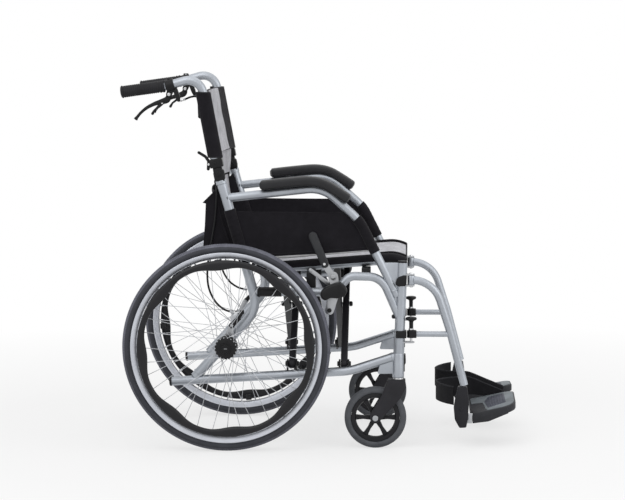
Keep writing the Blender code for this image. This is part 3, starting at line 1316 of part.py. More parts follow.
def seat_sling(name):
    """The seat cloth, laid over both rails, with its sag and a soft front edge."""
    half = RAIL_Y + SEAT_OVER_RAIL
    rows, columns = 7, 13
    grid = []
    for i in range(rows):
        x = SEAT_REAR_X + (SEAT_FRONT_X - SEAT_REAR_X) * i / (rows - 1)
        front = max(0.0, (i - rows + 2.5) / 1.5)
        row = []
        for j in range(columns):
            y = half * (2 * j / (columns - 1) - 1)
            share = min(1.0, abs(y) / SEAT_FLAT_HALF)
            sag = SEAT_SAG * (1 - share**2) + SEAT_FRONT_DROP * front * (1 - share)
            row.append((x, y, rail_z(x) + RAIL_R + CLOTH_T + 3 * GAP - sag))
        grid.append(row)
    return finished(name, sheet(grid, CLOTH_T), 1, PALE_CLOTH)


def back_sling(name):
    """The upper back cloth: a sagging front with a sleeve's rear lip round each post."""
    deep = TUBE_R + BACK_SLEEVE_GAP
    front = deep + BACK_CLOTH_T
    outer, inner = FRAME_Y + front, FRAME_Y + deep
    lip = FRAME_Y - TUBE_R - BACK_LIP_GAP
    span = FRAME_Y - TUBE_R - BACK_EDGE
    count = 8
    levels = 6
    rings = []
    for level in range(levels):
        z = BACK_BOTTOM_Z + (BACK_TOP_Z - BACK_BOTTOM_Z) * level / (levels - 1)
        a = post_x(z)
        sag = BACK_SAG + BACK_SWELL * sin(pi * level / (levels - 1))
        ring = []
        for sign in (1, -1):
            edge = BACK_EDGE
            side = [(a - front, lip), (a - front, outer - edge), (a - front + edge, outer),
                    (a + front - edge, outer), (a + front, outer - edge)]
            ring += [(x, sign * y) for x, y in (side if sign > 0 else side[::-1])]
            if sign > 0:
                for k in range(count + 1):
                    y = span * (1 - 2 * k / count)
                    ring.append((a + front - sag * (1 - (y / span) ** 2), y))
        back = [(a - deep, -lip), (a - deep, -inner), (a + deep, -inner)]
        ring += back
        for k in range(count + 1):
            y = -span * (1 - 2 * k / count)
            ring.append((a + deep - sag * (1 - (y / span) ** 2), y))
        ring += [(x, -y) for x, y in back[::-1]]
        rings.append([(x, y, z) for x, y in ring])
    return finished(name, skin(rings), 1, PALE_CLOTH)


def back_flap(name):
    """The lower back cloth between the uprights, with its pocket swelling behind it."""
    rows, columns = 7, 9
    grid = []
    for i in range(rows):
        share = i / (rows - 1)
        z = FLAP_TOP_Z + (FLAP_BOTTOM_Z - FLAP_TOP_Z) * share
        lean = (UPRIGHT_BEND[0] - UPRIGHT_TOP[0]) / (UPRIGHT_TOP[1] - UPRIGHT_BEND[1])
        on_tube = UPRIGHT_TOP[0] + (UPRIGHT_TOP[1] - z) * lean
        swell = FLAP_BULGE * (sin(pi * share) if share < 0.5 else 1 - 0.5 * (share - 0.5))
        row = []
        for j in range(columns):
            y = FLAP_HALF_W * (2 * j / (columns - 1) - 1)
            sag = FLAP_SAG * (1 - (y / FLAP_HALF_W) ** 2)
            row.append((on_tube - FLAP_OFF - swell - sag, y, z))
        grid.append(row)
    return finished(name, sheet(grid, BACK_CLOTH_T), 1, CLOTH)


SIDE_PIECES = (
    side_frame, rear_tyre, rear_rim, rear_hub, handrim, brake_plate, brake_arm, brake_cable,
    castor_fork, castor_rim, castor_tyre, hanger, hanger_knob, foot_socket, footplate, heel_loop,
    armrest_pad, side_panel, back_post, back_latch, grip, lever_bracket, brake_lever, brake_lock,
    parking_bracket, parking_lever, parking_shoe,
)


def build():
    clear_scene()
    for side, suffix in ((1, "left"), (-1, "right")):
        for piece in SIDE_PIECES:
            piece(side, f"{piece.__name__}_{suffix}")
    for piece in (brace_a, brace_b, seat_sling, back_sling, back_flap):
        piece(piece.__name__)


build()
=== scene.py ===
"""Lightweight folding wheelchair: each piece is modelled round its solid, in the row's frame."""

import logging
from collections.abc import Callable, Sequence
from dataclasses import dataclass
from enum import Enum
from math import atan2, copysign, cos, hypot, pi, radians, sin, tan

import bmesh
import bpy
from mathutils import Matrix, Quaternion, Vector


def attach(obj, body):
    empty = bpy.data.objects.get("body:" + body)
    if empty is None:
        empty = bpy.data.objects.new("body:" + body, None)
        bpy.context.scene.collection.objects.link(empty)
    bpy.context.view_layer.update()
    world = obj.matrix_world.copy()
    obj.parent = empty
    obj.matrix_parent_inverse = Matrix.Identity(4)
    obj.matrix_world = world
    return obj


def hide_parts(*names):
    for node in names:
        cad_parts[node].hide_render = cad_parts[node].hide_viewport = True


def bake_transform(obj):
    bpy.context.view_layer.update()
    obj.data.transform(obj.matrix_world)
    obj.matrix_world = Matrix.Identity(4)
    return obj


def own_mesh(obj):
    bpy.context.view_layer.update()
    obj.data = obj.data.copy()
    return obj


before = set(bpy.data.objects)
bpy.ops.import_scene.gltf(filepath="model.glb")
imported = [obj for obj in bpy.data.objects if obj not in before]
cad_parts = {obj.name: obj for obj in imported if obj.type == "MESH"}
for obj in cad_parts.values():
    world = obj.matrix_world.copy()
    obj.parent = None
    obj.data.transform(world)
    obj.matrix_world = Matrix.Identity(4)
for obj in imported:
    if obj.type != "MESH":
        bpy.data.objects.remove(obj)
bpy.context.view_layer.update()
LOG = logging.getLogger("wheelchair")

# Shapes are drawn with X forward from the rear axle, Y outboard to the left and Z up from the floor.
ORIGIN_X = 0.2255
AXLE_Z = 0.254
FRAME_Y = 0.215
OUTBOARD = Vector((0.0, 1.0, 0.0))
UPWARD = Vector((0.0, 0.0, 1.0))
FORWARD = Vector((1.0, 0.0, 0.0))
REARWARD = -FORWARD
BOTH_WAYS = (-1, 1)

# Places where sub-assemblies meet.
POST_X = 0.4188
HANGER_X = 0.4505
UPPER_TUBE_Z = 0.385
RAIL_Y = 0.177
RAIL_START = (0.1145, 0.4395)
RAIL_RISE = 0.0762
BACK_PIVOT = (-0.02, 0.675)
BACK_LEAN = 0.1853
LEFT_BARS = (0.1374, 0.2678)
RIGHT_BARS = (0.1576, 0.2856)

Point = tuple[float, float]
Colour = tuple[float, float, float]
Shape = bmesh.types.BMesh
Socket = bpy.types.NodeSocket


class Side(Enum):
    """A side of the chair. Pieces are drawn for the left and mirrored for the right."""

    LEFT = 1
    RIGHT = -1

    def of(self, name: str) -> str:
        """The name of this side's body or node."""
        return f"{name}_{self.name.lower()}"

    def frame(self) -> str:
        """The body of this side's frame."""
        return f"{self.name.lower()}_side"


class Plane(Enum):
    """The plane in which a flat outline is drawn."""

    SIDE = "XZ"
    FRONT = "YZ"
    FLOOR = "XY"

    def place(self, a: float, b: float, depth: float) -> Vector:
        """The point at (a, b) of the plane, depth square to it.

        Args:
            a: The first coordinate in the plane.
            b: The second.
            depth: The distance square to it.

        Returns:
            The point.
        """
        if self is Plane.SIDE:
            return Vector((a, depth, b))
        if self is Plane.FRONT:
            return Vector((depth, a, b))
        return Vector((a, b, depth))


# ---- finishes ----


class Graph:
    """The shader nodes of a material or of the world."""

    def __init__(self, owner: bpy.types.ID, shader: str, **inputs: object) -> None:
        """Starts from the owner's own shader, with some of its inputs set.

        Args:
            owner: The material or the world.
            shader: The name of its shader node.
            inputs: Values for the shader's input sockets, with _ for a space.
        """
        owner.use_nodes = True
        self.tree = owner.node_tree
        self.shader = self.tree.nodes[shader]
        for socket, value in inputs.items():
            self.shader.inputs[socket.replace("_", " ")].default_value = value

    def mix(self, share: Socket, first: bpy.types.Node, second: bpy.types.Node) -> None:
        """Shows the first shader where the share is 0 and the second where it is 1.

        Args:
            share: Where which shader shows.
            first: The shader node that shows at 0.
            second: The shader node that shows at 1.
        """
        made = self.node("ShaderNodeMixShader")
        for output, target in zip((share, first.outputs[0], second.outputs[0]), made.inputs):
            self.link(output, target)
        shown = next(n for n in self.tree.nodes if n.name.endswith(" Output"))
        self.link(made.outputs["Shader"], shown.inputs["Surface"])

    def node(self, kind: str, inputs: dict[str, object] | None = None, **settings: object) -> bpy.types.Node:
        """Adds a node.

        Args:
            kind: The node's type.
            inputs: Values for its input sockets, by name.
            settings: Its own properties.

        Returns:
            The new node.
        """
        made = self.tree.nodes.new(kind)
        for name, value in settings.items():
            setattr(made, name, value)
        for name, value in (inputs or {}).items():
            made.inputs[name].default_value = value
        return made

    def link(self, output: Socket, target: Socket) -> None:
        """Joins an output to an input."""
        self.tree.links.new(output, target)

    def coords(self, source: str, stretch: Sequence[float]) -> Socket:
        """Object or UV coordinates, stretched along each axis.

        Args:
            source: Object or UV.
            stretch: How much finer a pattern is along each axis.

        Returns:
            The coordinates' socket.
        """
        start = self.node("ShaderNodeTexCoord")
        mapping = self.node("ShaderNodeMapping", {"Scale": stretch})
        self.link(start.outputs[source], mapping.inputs["Vector"])
        return mapping.outputs["Vector"]

    def noise(
        self, scale: float, detail: float = 3.0, source: str = "Object", stretch: Sequence[float] = (1, 1, 1)
    ) -> Socket:
        """Cloudy noise, as a factor.

        Args:
            scale: Clouds in a metre.
            detail: How many finer layers it has.
            source: The coordinates that it follows.
            stretch: How much finer it is along each axis.

        Returns:
            The factor's socket.
        """
        made = self.node("ShaderNodeTexNoise", {"Scale": scale, "Detail": detail, "Roughness": 0.6})
        self.link(self.coords(source, stretch), made.inputs["Vector"])
        return made.outputs["Fac"]

    def wave(self, scale: float, axis: str, source: str = "UV", warp: float = 0.0) -> Socket:
        """Even bands across an axis, as a factor.

        Args:
            scale: Bands in a metre.
            axis: The axis that they cross.
            source: The coordinates that they follow.
            warp: How uneven they are.

        Returns:
            The factor's socket.
        """
        made = self.node(
            "ShaderNodeTexWave",
            {"Scale": scale, "Distortion": warp, "Detail": 1.0},
            bands_direction=axis, wave_profile="SIN",
        )
        self.link(self.coords(source, (1, 1, 1)), made.inputs["Vector"])
        return made.outputs["Fac"]

    def math(self, operation: str, *values: Socket | float) -> Socket:
        """The result of a sum on sockets or numbers.

        Args:
            operation: What is done.
            values: What it is done to.

        Returns:
            The result's socket.
        """
        made = self.node("ShaderNodeMath", operation=operation)
        for socket, value in zip(made.inputs, values):
            if isinstance(value, (int, float)):
                socket.default_value = value
            else:
                self.link(value, socket)
        return made.outputs[0]

    def tint(
        self, factor: Socket, low: Colour, high: Colour, start: float = 0.35, end: float = 0.65
    ) -> None:
        """Colours the surface between two shades by the factor.

        Args:
            factor: Where the surface has which shade.
            low: The shade at or below start.
            high: The shade at or above end.
            start: The factor at which the second shade begins.
            end: The factor at which it is full.
        """
        ramp = self.node("ShaderNodeValToRGB")
        first, last = ramp.color_ramp.elements
        first.position, first.color = start, (*low, 1.0)
        last.position, last.color = end, (*high, 1.0)
        self.link(factor, ramp.inputs["Fac"])
        self.link(ramp.outputs["Color"], self.shader.inputs["Base Color"])

    def gloss(self, factor: Socket, low: float, high: float) -> None:
        """Spreads the roughness between two values by the factor."""
        span = self.node("ShaderNodeMapRange", {"To Min": low, "To Max": high})
        self.link(factor, span.inputs["Value"])
        self.link(span.outputs["Result"], self.shader.inputs["Roughness"])

    def relief(self, height: Socket, strength: float, depth: float) -> None:
        """Raises small relief on the surface."""
        bump = self.node("ShaderNodeBump", {"Strength": strength, "Distance": depth})
        self.link(height, bump.inputs["Height"])
        self.link(bump.outputs["Normal"], self.shader.inputs["Normal"])


def shade(colour: Colour, share: float) -> Colour:
    """The colour made darker or lighter by a share."""
    return tuple(min(1.0, c * share) for c in colour)


@dataclass(frozen=True)
class Finish:
    """A surface that a piece can have."""

    name: str
    colour: Colour
    roughness: float

    def material(self) -> bpy.types.Material:
        """The finish's material, made once."""
        made = bpy.data.materials.get(self.name)
        if made is None:
            made = bpy.data.materials.new(self.name)
            self.paint(made)
        return made

    def paint(self, material: bpy.types.Material) -> None:
        """Gives the new material its shader nodes."""
        raise NotImplementedError


@dataclass(frozen=True)
class Metal(Finish):
    """Satin or bright metal with a fine grain and faint handling marks."""

    grain: float = 900.0
    depth: float = 0.00006
    metallic: float = 1.0

    def paint(self, material: bpy.types.Material) -> None:
        """Gives the new material its shader nodes."""
        graph = Graph(material, "Principled BSDF", Metallic=self.metallic)
        graph.tint(graph.noise(14.0, 4.0), shade(self.colour, 0.9), shade(self.colour, 1.06))
        graph.gloss(graph.noise(60.0, 5.0), self.roughness * 0.75, self.roughness * 1.3)
        graph.relief(graph.noise(self.grain, 2.0), 0.25, self.depth)


@dataclass(frozen=True)
class Moulded(Finish):
    """Moulded plastic with a fine spark-eroded grain."""

    grain: float = 1400.0
    relief: float = 0.3
    specular: float = 0.22

    def paint(self, material: bpy.types.Material) -> None:
        """Gives the new material its shader nodes."""
        graph = Graph(material, "Principled BSDF", Specular_IOR_Level=self.specular)
        graph.tint(graph.noise(25.0, 4.0), shade(self.colour, 0.85), shade(self.colour, 1.2))
        graph.gloss(graph.noise(90.0, 3.0), self.roughness * 0.85, self.roughness * 1.15)
        graph.relief(graph.noise(self.grain, 1.0), self.relief, 0.0002)


@dataclass(frozen=True)
class Rubber(Finish):
    """Rubber with a dusty bloom, and bands of relief along one of its UV axes."""

    bands: float = 0.0
    band_axis: str = "X"
    relief: float = 0.4
    worn: float = 1.35
    specular: float = 0.25

    def paint(self, material: bpy.types.Material) -> None:
        """Gives the new material its shader nodes."""
        graph = Graph(material, "Principled BSDF", Specular_IOR_Level=self.specular)
        cloud = graph.noise(30.0, 6.0)
        graph.tint(cloud, shade(self.colour, 0.85), shade(self.colour, self.worn), 0.3, 0.75)
        graph.gloss(graph.noise(120.0, 3.0), self.roughness * 0.9, self.roughness)
        fine = graph.noise(900.0, 2.0)
        if self.bands:
            ribs = graph.wave(self.bands, self.band_axis)
            fine = graph.math("MULTIPLY_ADD", ribs, 3.0, fine)
        graph.relief(fine, self.relief, 0.0004)


@dataclass(frozen=True)
class Woven(Finish):
    """Cloth with crossed threads that follow its cut, in metres of UV."""

    threads: float = 500.0
    relief: float = 0.35
    sheen: float = 0.06

    def paint(self, material: bpy.types.Material) -> None:
        """Gives the new material its shader nodes."""
        graph = Graph(
            material, "Principled BSDF", Sheen_Weight=self.sheen, Sheen_Roughness=0.5, Specular_IOR_Level=0.12
        )
        warp, weft = graph.wave(self.threads, "X"), graph.wave(self.threads, "Y")
        weave = graph.math("MULTIPLY", warp, weft)
        mottle = graph.math("MULTIPLY_ADD", weave, 0.35, graph.noise(45.0, 5.0))
        graph.tint(mottle, shade(self.colour, 0.75), shade(self.colour, 1.25), 0.35, 0.9)
        graph.gloss(graph.noise(70.0, 2.0), self.roughness * 0.92, self.roughness)
        graph.relief(weave, self.relief, 0.0003)


SILVER = Metal("satin_silver", (0.38, 0.404, 0.44), 0.42, metallic=0.85)
BRIGHT = Metal("bright_plate", (0.62, 0.625, 0.635), 0.18, 400.0, 0.00002)
ALLOY = Metal("polished_rim", (0.56, 0.58, 0.63), 0.32, 500.0, 0.00003)
SPOKE_STEEL = Metal("spoke_steel", (0.45, 0.46, 0.48), 0.45, 600.0, 0.00002)
ZINC = Metal("zinc_steel", (0.4, 0.41, 0.425), 0.36, 1000.0, 0.00005)
DARK_PAINT = Moulded("dark_fork_paint", (0.02, 0.0195, 0.023), 0.55, 1800.0, 0.15)
BLACK_PLASTIC = Moulded("moulded_black", (0.008, 0.008, 0.009), 0.42)
BLACK_PAINT = Moulded("black_paint", (0.007, 0.007, 0.008), 0.32, 1800.0, 0.1)
GREY_PLASTIC = Moulded("moulded_grey", (0.013, 0.013, 0.016), 0.5)
LEVER_GREY = Moulded("lever_grey", (0.03, 0.031, 0.034), 0.45)
PLATE_GREY = Moulded("plate_grey", (0.03, 0.031, 0.035), 0.55, 900.0, 0.4)
# Painted highlight: the footplate's pale top border and nose stand in for the light that its top and rounded
# front catch.
PLATE_PAINTED_HIGHLIGHT = Moulded("plate_light", (0.165, 0.185, 0.2), 0.55, 900.0, 0.4)
PLATE_BLUE = Moulded("plate_blue_grey", (0.062, 0.067, 0.088), 0.6, 900.0, 0.4)
TYRE_TREAD = Rubber("tyre_tread", (0.122, 0.125, 0.152), 0.85, 110.0, "X", 0.6, 1.5)
TYRE_WALL = Rubber("tyre_wall", (0.045, 0.047, 0.056), 0.75, 0.0, "X", 0.25, 1.3)
CASTOR_RUBBER = Rubber("castor_rubber", (0.085, 0.089, 0.098), 0.8, 0.0, "X", 0.3, 1.4)
HANDRIM_SKIN = Moulded("handrim_skin", (0.009, 0.009, 0.011), 0.36, 1200.0, 0.12, 0.3)
CASTOR_PLASTIC = Moulded("castor_plastic", (0.01, 0.01, 0.012), 0.45)
GRIP_RUBBER = Rubber("ribbed_rubber", (0.014, 0.014, 0.016), 0.7, 0.0, "X", 0.35, 1.5)
CABLE_SHEATH = Moulded("cable_jacket", (0.008, 0.008, 0.009), 0.38, 1500.0, 0.1)
PAD_SKIN = Moulded("armrest_skin", (0.014, 0.014, 0.016), 0.52, 700.0, 0.5, 0.3)
BLACK_CLOTH = Woven("woven_black", (0.0125, 0.0115, 0.0145), 0.9)
DARK_BAND = Woven("dark_band", (0.03, 0.03, 0.034), 0.9)
PALE_CLOTH = Woven("pale_cloth", (0.53, 0.53, 0.56), 0.92)
WEBBING = Woven("black_webbing", (0.012, 0.012, 0.014), 0.85, 260.0, 0.6)
PIPING = Woven("pale_piping", (0.4, 0.4, 0.41), 0.8, 900.0)


# ---- shapes ----


def path_of(points: Sequence[Sequence[float]], radii: Sequence[float], steps: int = 8) -> list[Vector]:
    """The path through the points, with every inner corner on an arc of its radius.

    Args:
        points: The corners of the path.
        radii: One radius for each inner corner.
        steps: How many pieces an arc has.

    Returns:
        The path's points.
    """
    points = [Vector(p) for p in points]
    path = [points[0]]
    for before, corner, after, radius in zip(points, points[1:], points[2:], radii):
        back, ahead = (before - corner).normalized(), (after - corner).normalized()
        half = back.angle(ahead) / 2
        centre = corner + (back + ahead).normalized() * (radius / sin(half))
        start = corner + back * (radius / tan(half)) - centre
        turn = Quaternion(ahead.cross(back), (pi - 2 * half) / steps)
        path.append(centre + start)
        for _ in range(steps):
            start = turn @ start
            path.append(centre + start)
    path.append(points[-1])
    return path


def at_share(points: Sequence[Sequence[float]], share: float) -> Vector:
    """The place at a share of the way along a smooth curve through the points.

    Args:
        points: Where the curve passes.
        share: 0 at its start and 1 at its end.

    Returns:
        The place.
    """
    points = [Vector((*p, 0.0)) if len(p) == 2 else Vector(p) for p in points]
    ends = [2 * points[0] - points[1]] + points + [2 * points[-1] - points[-2]]
    spans = len(points) - 1
    k = min(max(int(share * spans), 0), spans - 1)
    t = share * spans - k
    a, b, c, d = ends[k : k + 4]
    return 0.5 * (2 * b + (c - a) * t + (2 * a - 5 * b + 4 * c - d) * t**2 + (3 * b - a - 3 * c + d) * t**3)


def curve_of(points: Sequence[Sequence[float]], count: int) -> list[Vector]:
    """A smooth curve through the points.

    Args:
        points: Where the curve passes.
        count: How many points the curve has.

    Returns:
        The curve's points.
    """
    return [at_share(points, index / (count - 1)) for index in range(count)]


def oval(half_a: float, half_b: float, count: int = 20, square: float = 1.0) -> list[Point]:
    """A round section, or with a square share under 1 a rounded box.

    Args:
        half_a: Half of its size in the path's plane.
        half_b: Half of its size square to that.
        count: How many corners it has.
        square: 1 for an ellipse, less for a boxier shape.

    Returns:
        The section's corners.
    """
    section = []
    for k in range(count):
        angle = 2 * pi * (k + 0.5) / count
        c, s = cos(angle), sin(angle)
        section.append((half_a * copysign(abs(c) ** square, c), half_b * copysign(abs(s) ** square, s)))
    return section


def stations(path: Sequence[Vector], up: Vector) -> list[Matrix]:
    """The frame at each point of a path: across it, towards up, and along it.

    Args:
        path: The points.
        up: The direction of each frame's second axis.

    Returns:
        A frame for each point.
    """
    frames = []
    for index, point in enumerate(path):
        along = (path[min(index + 1, len(path) - 1)] - path[max(index - 1, 0)]).normalized()
        across = along.cross(up).normalized()
        top = across.cross(along)
        frames.append(Matrix.Translation(point) @ Matrix((across, top, along)).transposed().to_4x4())
    return frames


def faces_out(shape: Shape) -> Shape:
    """The shape with its doubles merged and its faces turned out."""
    bmesh.ops.remove_doubles(shape, verts=shape.verts[:], dist=1e-6)
    bmesh.ops.recalc_face_normals(shape, faces=shape.faces[:])
    return shape


def swept(
    path: Sequence[Vector], section: Sequence[Point], up: Vector = OUTBOARD, sizes: Sequence[Point] = ()
) -> Shape:
    """A section drawn along a path by extrusion, with both ends closed.

    Args:
        path: The points that it follows.
        section: The section's corners.
        up: The direction of the section's second axis.
        sizes: How much the section grows at each point, along each of its axes.

    Returns:
        The closed shape.
    """
    shape = bmesh.new()
    frames = stations(path, up)
    if sizes:
        frames = [f @ Matrix.Diagonal((a, b, 1.0, 1.0)) for f, (a, b) in zip(frames, sizes)]
    face = shape.faces.new([shape.verts.new(frames[0] @ Vector((a, b, 0.0))) for a, b in section])
    for before, after in zip(frames, frames[1:]):
        grown = bmesh.ops.extrude_face_region(shape, geom=[face])["geom"]
        face = next(g for g in grown if isinstance(g, bmesh.types.BMFace))
        bmesh.ops.transform(shape, matrix=after @ before.inverted(), verts=face.verts[:])
    return faces_out(shape)


def tube(
    points: Sequence[Sequence[float]], radii: Sequence[float], radius: float, sides: int = 20, steps: int = 8
) -> Shape:
    """A round bar through the points, with its bends on arcs."""
    return swept(path_of(points, radii, steps), oval(radius, radius, sides))


def side_tube(points: Sequence[Point], radii: Sequence[float], radius: float, y: float = FRAME_Y) -> Shape:
    """A tube in a plane of the side frame, through points given as (x, z)."""
    return tube([(x, y, z) for x, z in points], radii, radius)


def soften(shape: Shape, edges: Sequence[bmesh.types.BMEdge], width: float, segments: int = 2) -> Shape:
    """Rounds the edges over by a width.

    Args:
        shape: The shape, which is changed.
        edges: The edges to round.
        width: How far the rounding reaches.
        segments: How many steps it has.

    Returns:
        The shape.
    """
    bmesh.ops.bevel(
        shape, geom=list(edges), offset=width, offset_type="OFFSET", affect="EDGES",
        segments=segments, profile=0.5, material=-1, clamp_overlap=True,
    )
    return shape


def cap_edges(shape: Shape, sides: int = 5) -> list[bmesh.types.BMEdge]:
    """The edges round every face of at least so many sides."""
    return list({edge for face in shape.faces if len(face.edges) >= sides for edge in face.edges})


def rod(
    start: Sequence[float], end: Sequence[float], radius: float, sides: int = 24, rim: float = 0.0004,
    tip: float | None = None,
) -> Shape:
    """A straight round bar with softened ends.

    Args:
        start: The centre of its first end.
        end: The centre of its second end.
        radius: Its radius.
        sides: How many flats it has.
        rim: How much its ends are rounded.
        tip: The radius at the second end, where it differs.

    Returns:
        The closed shape.
    """
    start, end = Vector(start), Vector(end)
    along = end - start
    shape = bmesh.new()
    bmesh.ops.create_cone(
        shape, cap_ends=True, segments=sides, radius1=radius,
        radius2=radius if tip is None else tip, depth=along.length,
    )
    if rim:
        soften(shape, cap_edges(shape), rim, 3 if rim > 0.001 else 1)
    turn = UPWARD.rotation_difference(along).to_matrix().to_4x4()
    shape.transform(Matrix.Translation((start + end) / 2) @ turn)
    return shape


def block(low: Sequence[float], high: Sequence[float], rim: float = 0.001, segments: int = 2) -> Shape:
    """A box between two corners, with its edges rounded.

    Args:
        low: One corner.
        high: The corner across from it.
        rim: How much the edges are rounded.
        segments: How many steps the rounding has.

    Returns:
        The closed shape.
    """
    low, high = Vector(low), Vector(high)
    shape = bmesh.new()
    bmesh.ops.create_cube(shape, size=1.0)
    shape.transform(Matrix.Translation((low + high) / 2) @ Matrix.Diagonal((*(high - low), 1.0)))
    return soften(shape, shape.edges[:], rim, segments) if rim else shape


def plate(
    outline: Sequence[Point], low: float, high: float, rim: float = 0.0006, corner: float = 0.0,
    plane: Plane = Plane.SIDE,
) -> Shape:
    """An outline extruded square to its plane, with its corners and rims rounded.

    Args:
        outline: The outline's corners.
        low: Where the plate starts, square to the plane.
        high: Where it ends.
        rim: How much the edges of its two faces are rounded.
        corner: How much the outline's corners are rounded.
        plane: The outline's plane.

    Returns:
        The closed shape.
    """
    shape = bmesh.new()
    shape.faces.new([shape.verts.new(plane.place(a, b, low)) for a, b in outline])
    if corner:
        bmesh.ops.bevel(
            shape, geom=shape.verts[:], offset=corner, offset_type="OFFSET", affect="VERTICES",
            segments=4, profile=0.5, material=-1, clamp_overlap=True,
        )
    out_moved(shape, shape.faces, plane.place(0.0, 0.0, high - low))
    faces_out(shape)
    if rim:
        square = plane.place(0.0, 0.0, 1.0)
        caps = [f for f in shape.faces if abs(f.normal.dot(square)) > 0.99]
        soften(shape, {e for f in caps for e in f.edges}, rim)
    return shape


def cheeks(
    outline: Sequence[Point], middle: float, inner: float, outer: float, rim: float = 0.0006,
    corner: float = 0.0, plane: Plane = Plane.SIDE,
) -> list[Shape]:
    """Two plates of one outline, the same way off the middle on both sides of it.

    Args:
        outline: The outline's corners.
        middle: The place of the middle, square to the plane.
        inner: How far from it the plates start.
        outer: How far from it they end.
        rim: How much the edges of their faces are rounded.
        corner: How much the outline's corners are rounded.
        plane: The outline's plane.

    Returns:
        The two closed shapes.
    """
    spans = [sorted((middle + sign * inner, middle + sign * outer)) for sign in BOTH_WAYS]
    return [plate(outline, near, far, rim, corner, plane) for near, far in spans]


def mirrored(half: Sequence[Point]) -> list[Point]:
    """Half of a wheel's profile and its mirror image across the wheel's middle."""
    return [*half, *((r, -a) for r, a in half[::-1])]


def strip(points: Sequence[Point], radii: Sequence[float], steps: int = 8) -> list[Point]:
    """The outline round circles of the radii on the points.

    Args:
        points: The circles' centres.
        radii: Their radii.
        steps: How many pieces each round end has.

    Returns:
        The outline's corners.
    """
    points = [Vector(p) for p in points]
    left, right = [], []
    for index, (point, radius) in enumerate(zip(points, radii)):
        along = (points[min(index + 1, len(points) - 1)] - points[max(index - 1, 0)]).normalized()
        across = Vector((-along.y, along.x))
        left.append(point + across * radius)
        right.append(point - across * radius)
    heading, start = (points[-1] - points[-2]).normalized(), (points[1] - points[0]).normalized()
    nose, tail = [], []
    for k in range(1, steps):
        turn = Matrix.Rotation(pi / 2 - pi * k / steps, 2)
        nose.append(points[-1] + turn @ heading * radii[-1])
        tail.append(points[0] + turn @ -start * radii[0])
    return [tuple(p) for p in left + nose + right[::-1] + tail]


def facing(point: Sequence[float], axis: Vector) -> Matrix:
    """The place at a point whose third axis points along the axis."""
    return Matrix.Translation(point) @ UPWARD.rotation_difference(axis).to_matrix().to_4x4()


def spun(profile: Sequence[Point], place: Matrix, steps: int = 64, loop: bool = False) -> Shape:
    """A profile of (radius, along) spun about its axis.

    Args:
        profile: The profile's corners.
        place: Where the axis's start is, and with its third axis where it points.
        steps: How many pieces the turn has.
        loop: Whether the profile closes on itself, as a ring's does.

    Returns:
        The closed shape.
    """
    shape = bmesh.new()
    verts = [shape.verts.new((r, 0.0, a)) for r, a in profile]
    edges = [shape.edges.new(pair) for pair in zip(verts, verts[1:])]
    if loop:
        edges.append(shape.edges.new((verts[-1], verts[0])))
    bmesh.ops.spin(
        shape, geom=verts + edges, cent=(0, 0, 0), axis=(0, 0, 1), angle=2 * pi, steps=steps,
        use_merge=True, use_duplicate=False,
    )
    shape.transform(place)
    return faces_out(shape)


def bolt(point: Sequence[float], axis: Vector, radius: float, height: float, socket: float = 0.5) -> Shape:
    """A button-headed screw with a six-sided socket.

    Args:
        point: The centre of the head's seat.
        axis: The way that the head faces.
        radius: The head's radius.
        height: How far it stands up.
        socket: The socket's share of the radius.

    Returns:
        The closed shape.
    """
    shape = bmesh.new()
    bmesh.ops.create_cone(
        shape, cap_ends=True, segments=18, radius1=radius, radius2=radius * 0.97, depth=height
    )
    top = max(shape.faces, key=lambda f: f.calc_center_median().z)
    soften(shape, top.edges[:], height * 0.45, 3)
    top = max(shape.faces, key=lambda f: f.calc_center_median().z)
    bmesh.ops.inset_region(shape, faces=[top], thickness=radius * (1 - socket) * 0.6, depth=0.0)
    out_moved(shape, [top], (0, 0, -height * 0.4))
    shape.transform(facing(Vector(point) + axis * (height / 2), axis))
    return faces_out(shape)


def bolts(middle: Sequence[float], axis: Vector, reach: float, radius: float, height: float) -> list[Shape]:
    """Two screws that face away from each other.

    Args:
        middle: The point halfway between their seats.
        axis: The line that they lie on.
        reach: How far each seat is from the middle.
        radius: The heads' radius.
        height: How far they stand up.

    Returns:
        The two closed shapes.
    """
    return [bolt(Vector(middle) + axis * (sign * reach), axis * sign, radius, height) for sign in BOTH_WAYS]


def line_of(
    place: Callable[[float], Vector], count: int, half_a: float, half_b: float, sides: int = 12,
    up: Vector = OUTBOARD,
) -> Shape:
    """A thin bar, such as a hem, a seam or a piping.

    Args:
        place: Where its middle is, at a share of its length.
        count: How many pieces it has.
        half_a: Half of its thickness in its plane.
        half_b: Half of its thickness square to that.
        sides: How many flats it has.
        up: The direction of the section's second axis.

    Returns:
        The closed shape.
    """
    return swept([place(k / count) for k in range(count + 1)], oval(half_a, half_b, sides), up)


def out_moved(shape: Shape, faces: Sequence[bmesh.types.BMFace], move: Sequence[float]) -> None:
    """Extrudes the faces and moves what grows out of them.

    Args:
        shape: The shape, which is changed.
        faces: The faces to extrude.
        move: How far and where to.
    """
    grown = bmesh.ops.extrude_face_region(shape, geom=list(faces))["geom"]
    verts = [v for v in grown if isinstance(v, bmesh.types.BMVert)]
    bmesh.ops.translate(shape, verts=verts, vec=move)


def ring_uv(shape: Shape, centre: Vector) -> Shape:
    """Gives a wheel's shape UVs: the turn round its axle, and the distance from it in metres.

    Args:
        shape: The wheel's shape.
        centre: The middle of its axle.

    Returns:
        The shape.
    """
    layer = shape.loops.layers.uv.new("cut")
    for face in shape.faces:
        turns = [atan2(l.vert.co.z - centre.z, l.vert.co.x - centre.x) / (2 * pi) for l in face.loops]
        wrap = max(turns) - min(turns) > 0.5
        for loop, turn in zip(face.loops, turns):
            far = hypot(loop.vert.co.x - centre.x, loop.vert.co.z - centre.z)
            loop[layer].uv = (turn + 1.0 if wrap and turn < 0 else turn, far)
    return shape


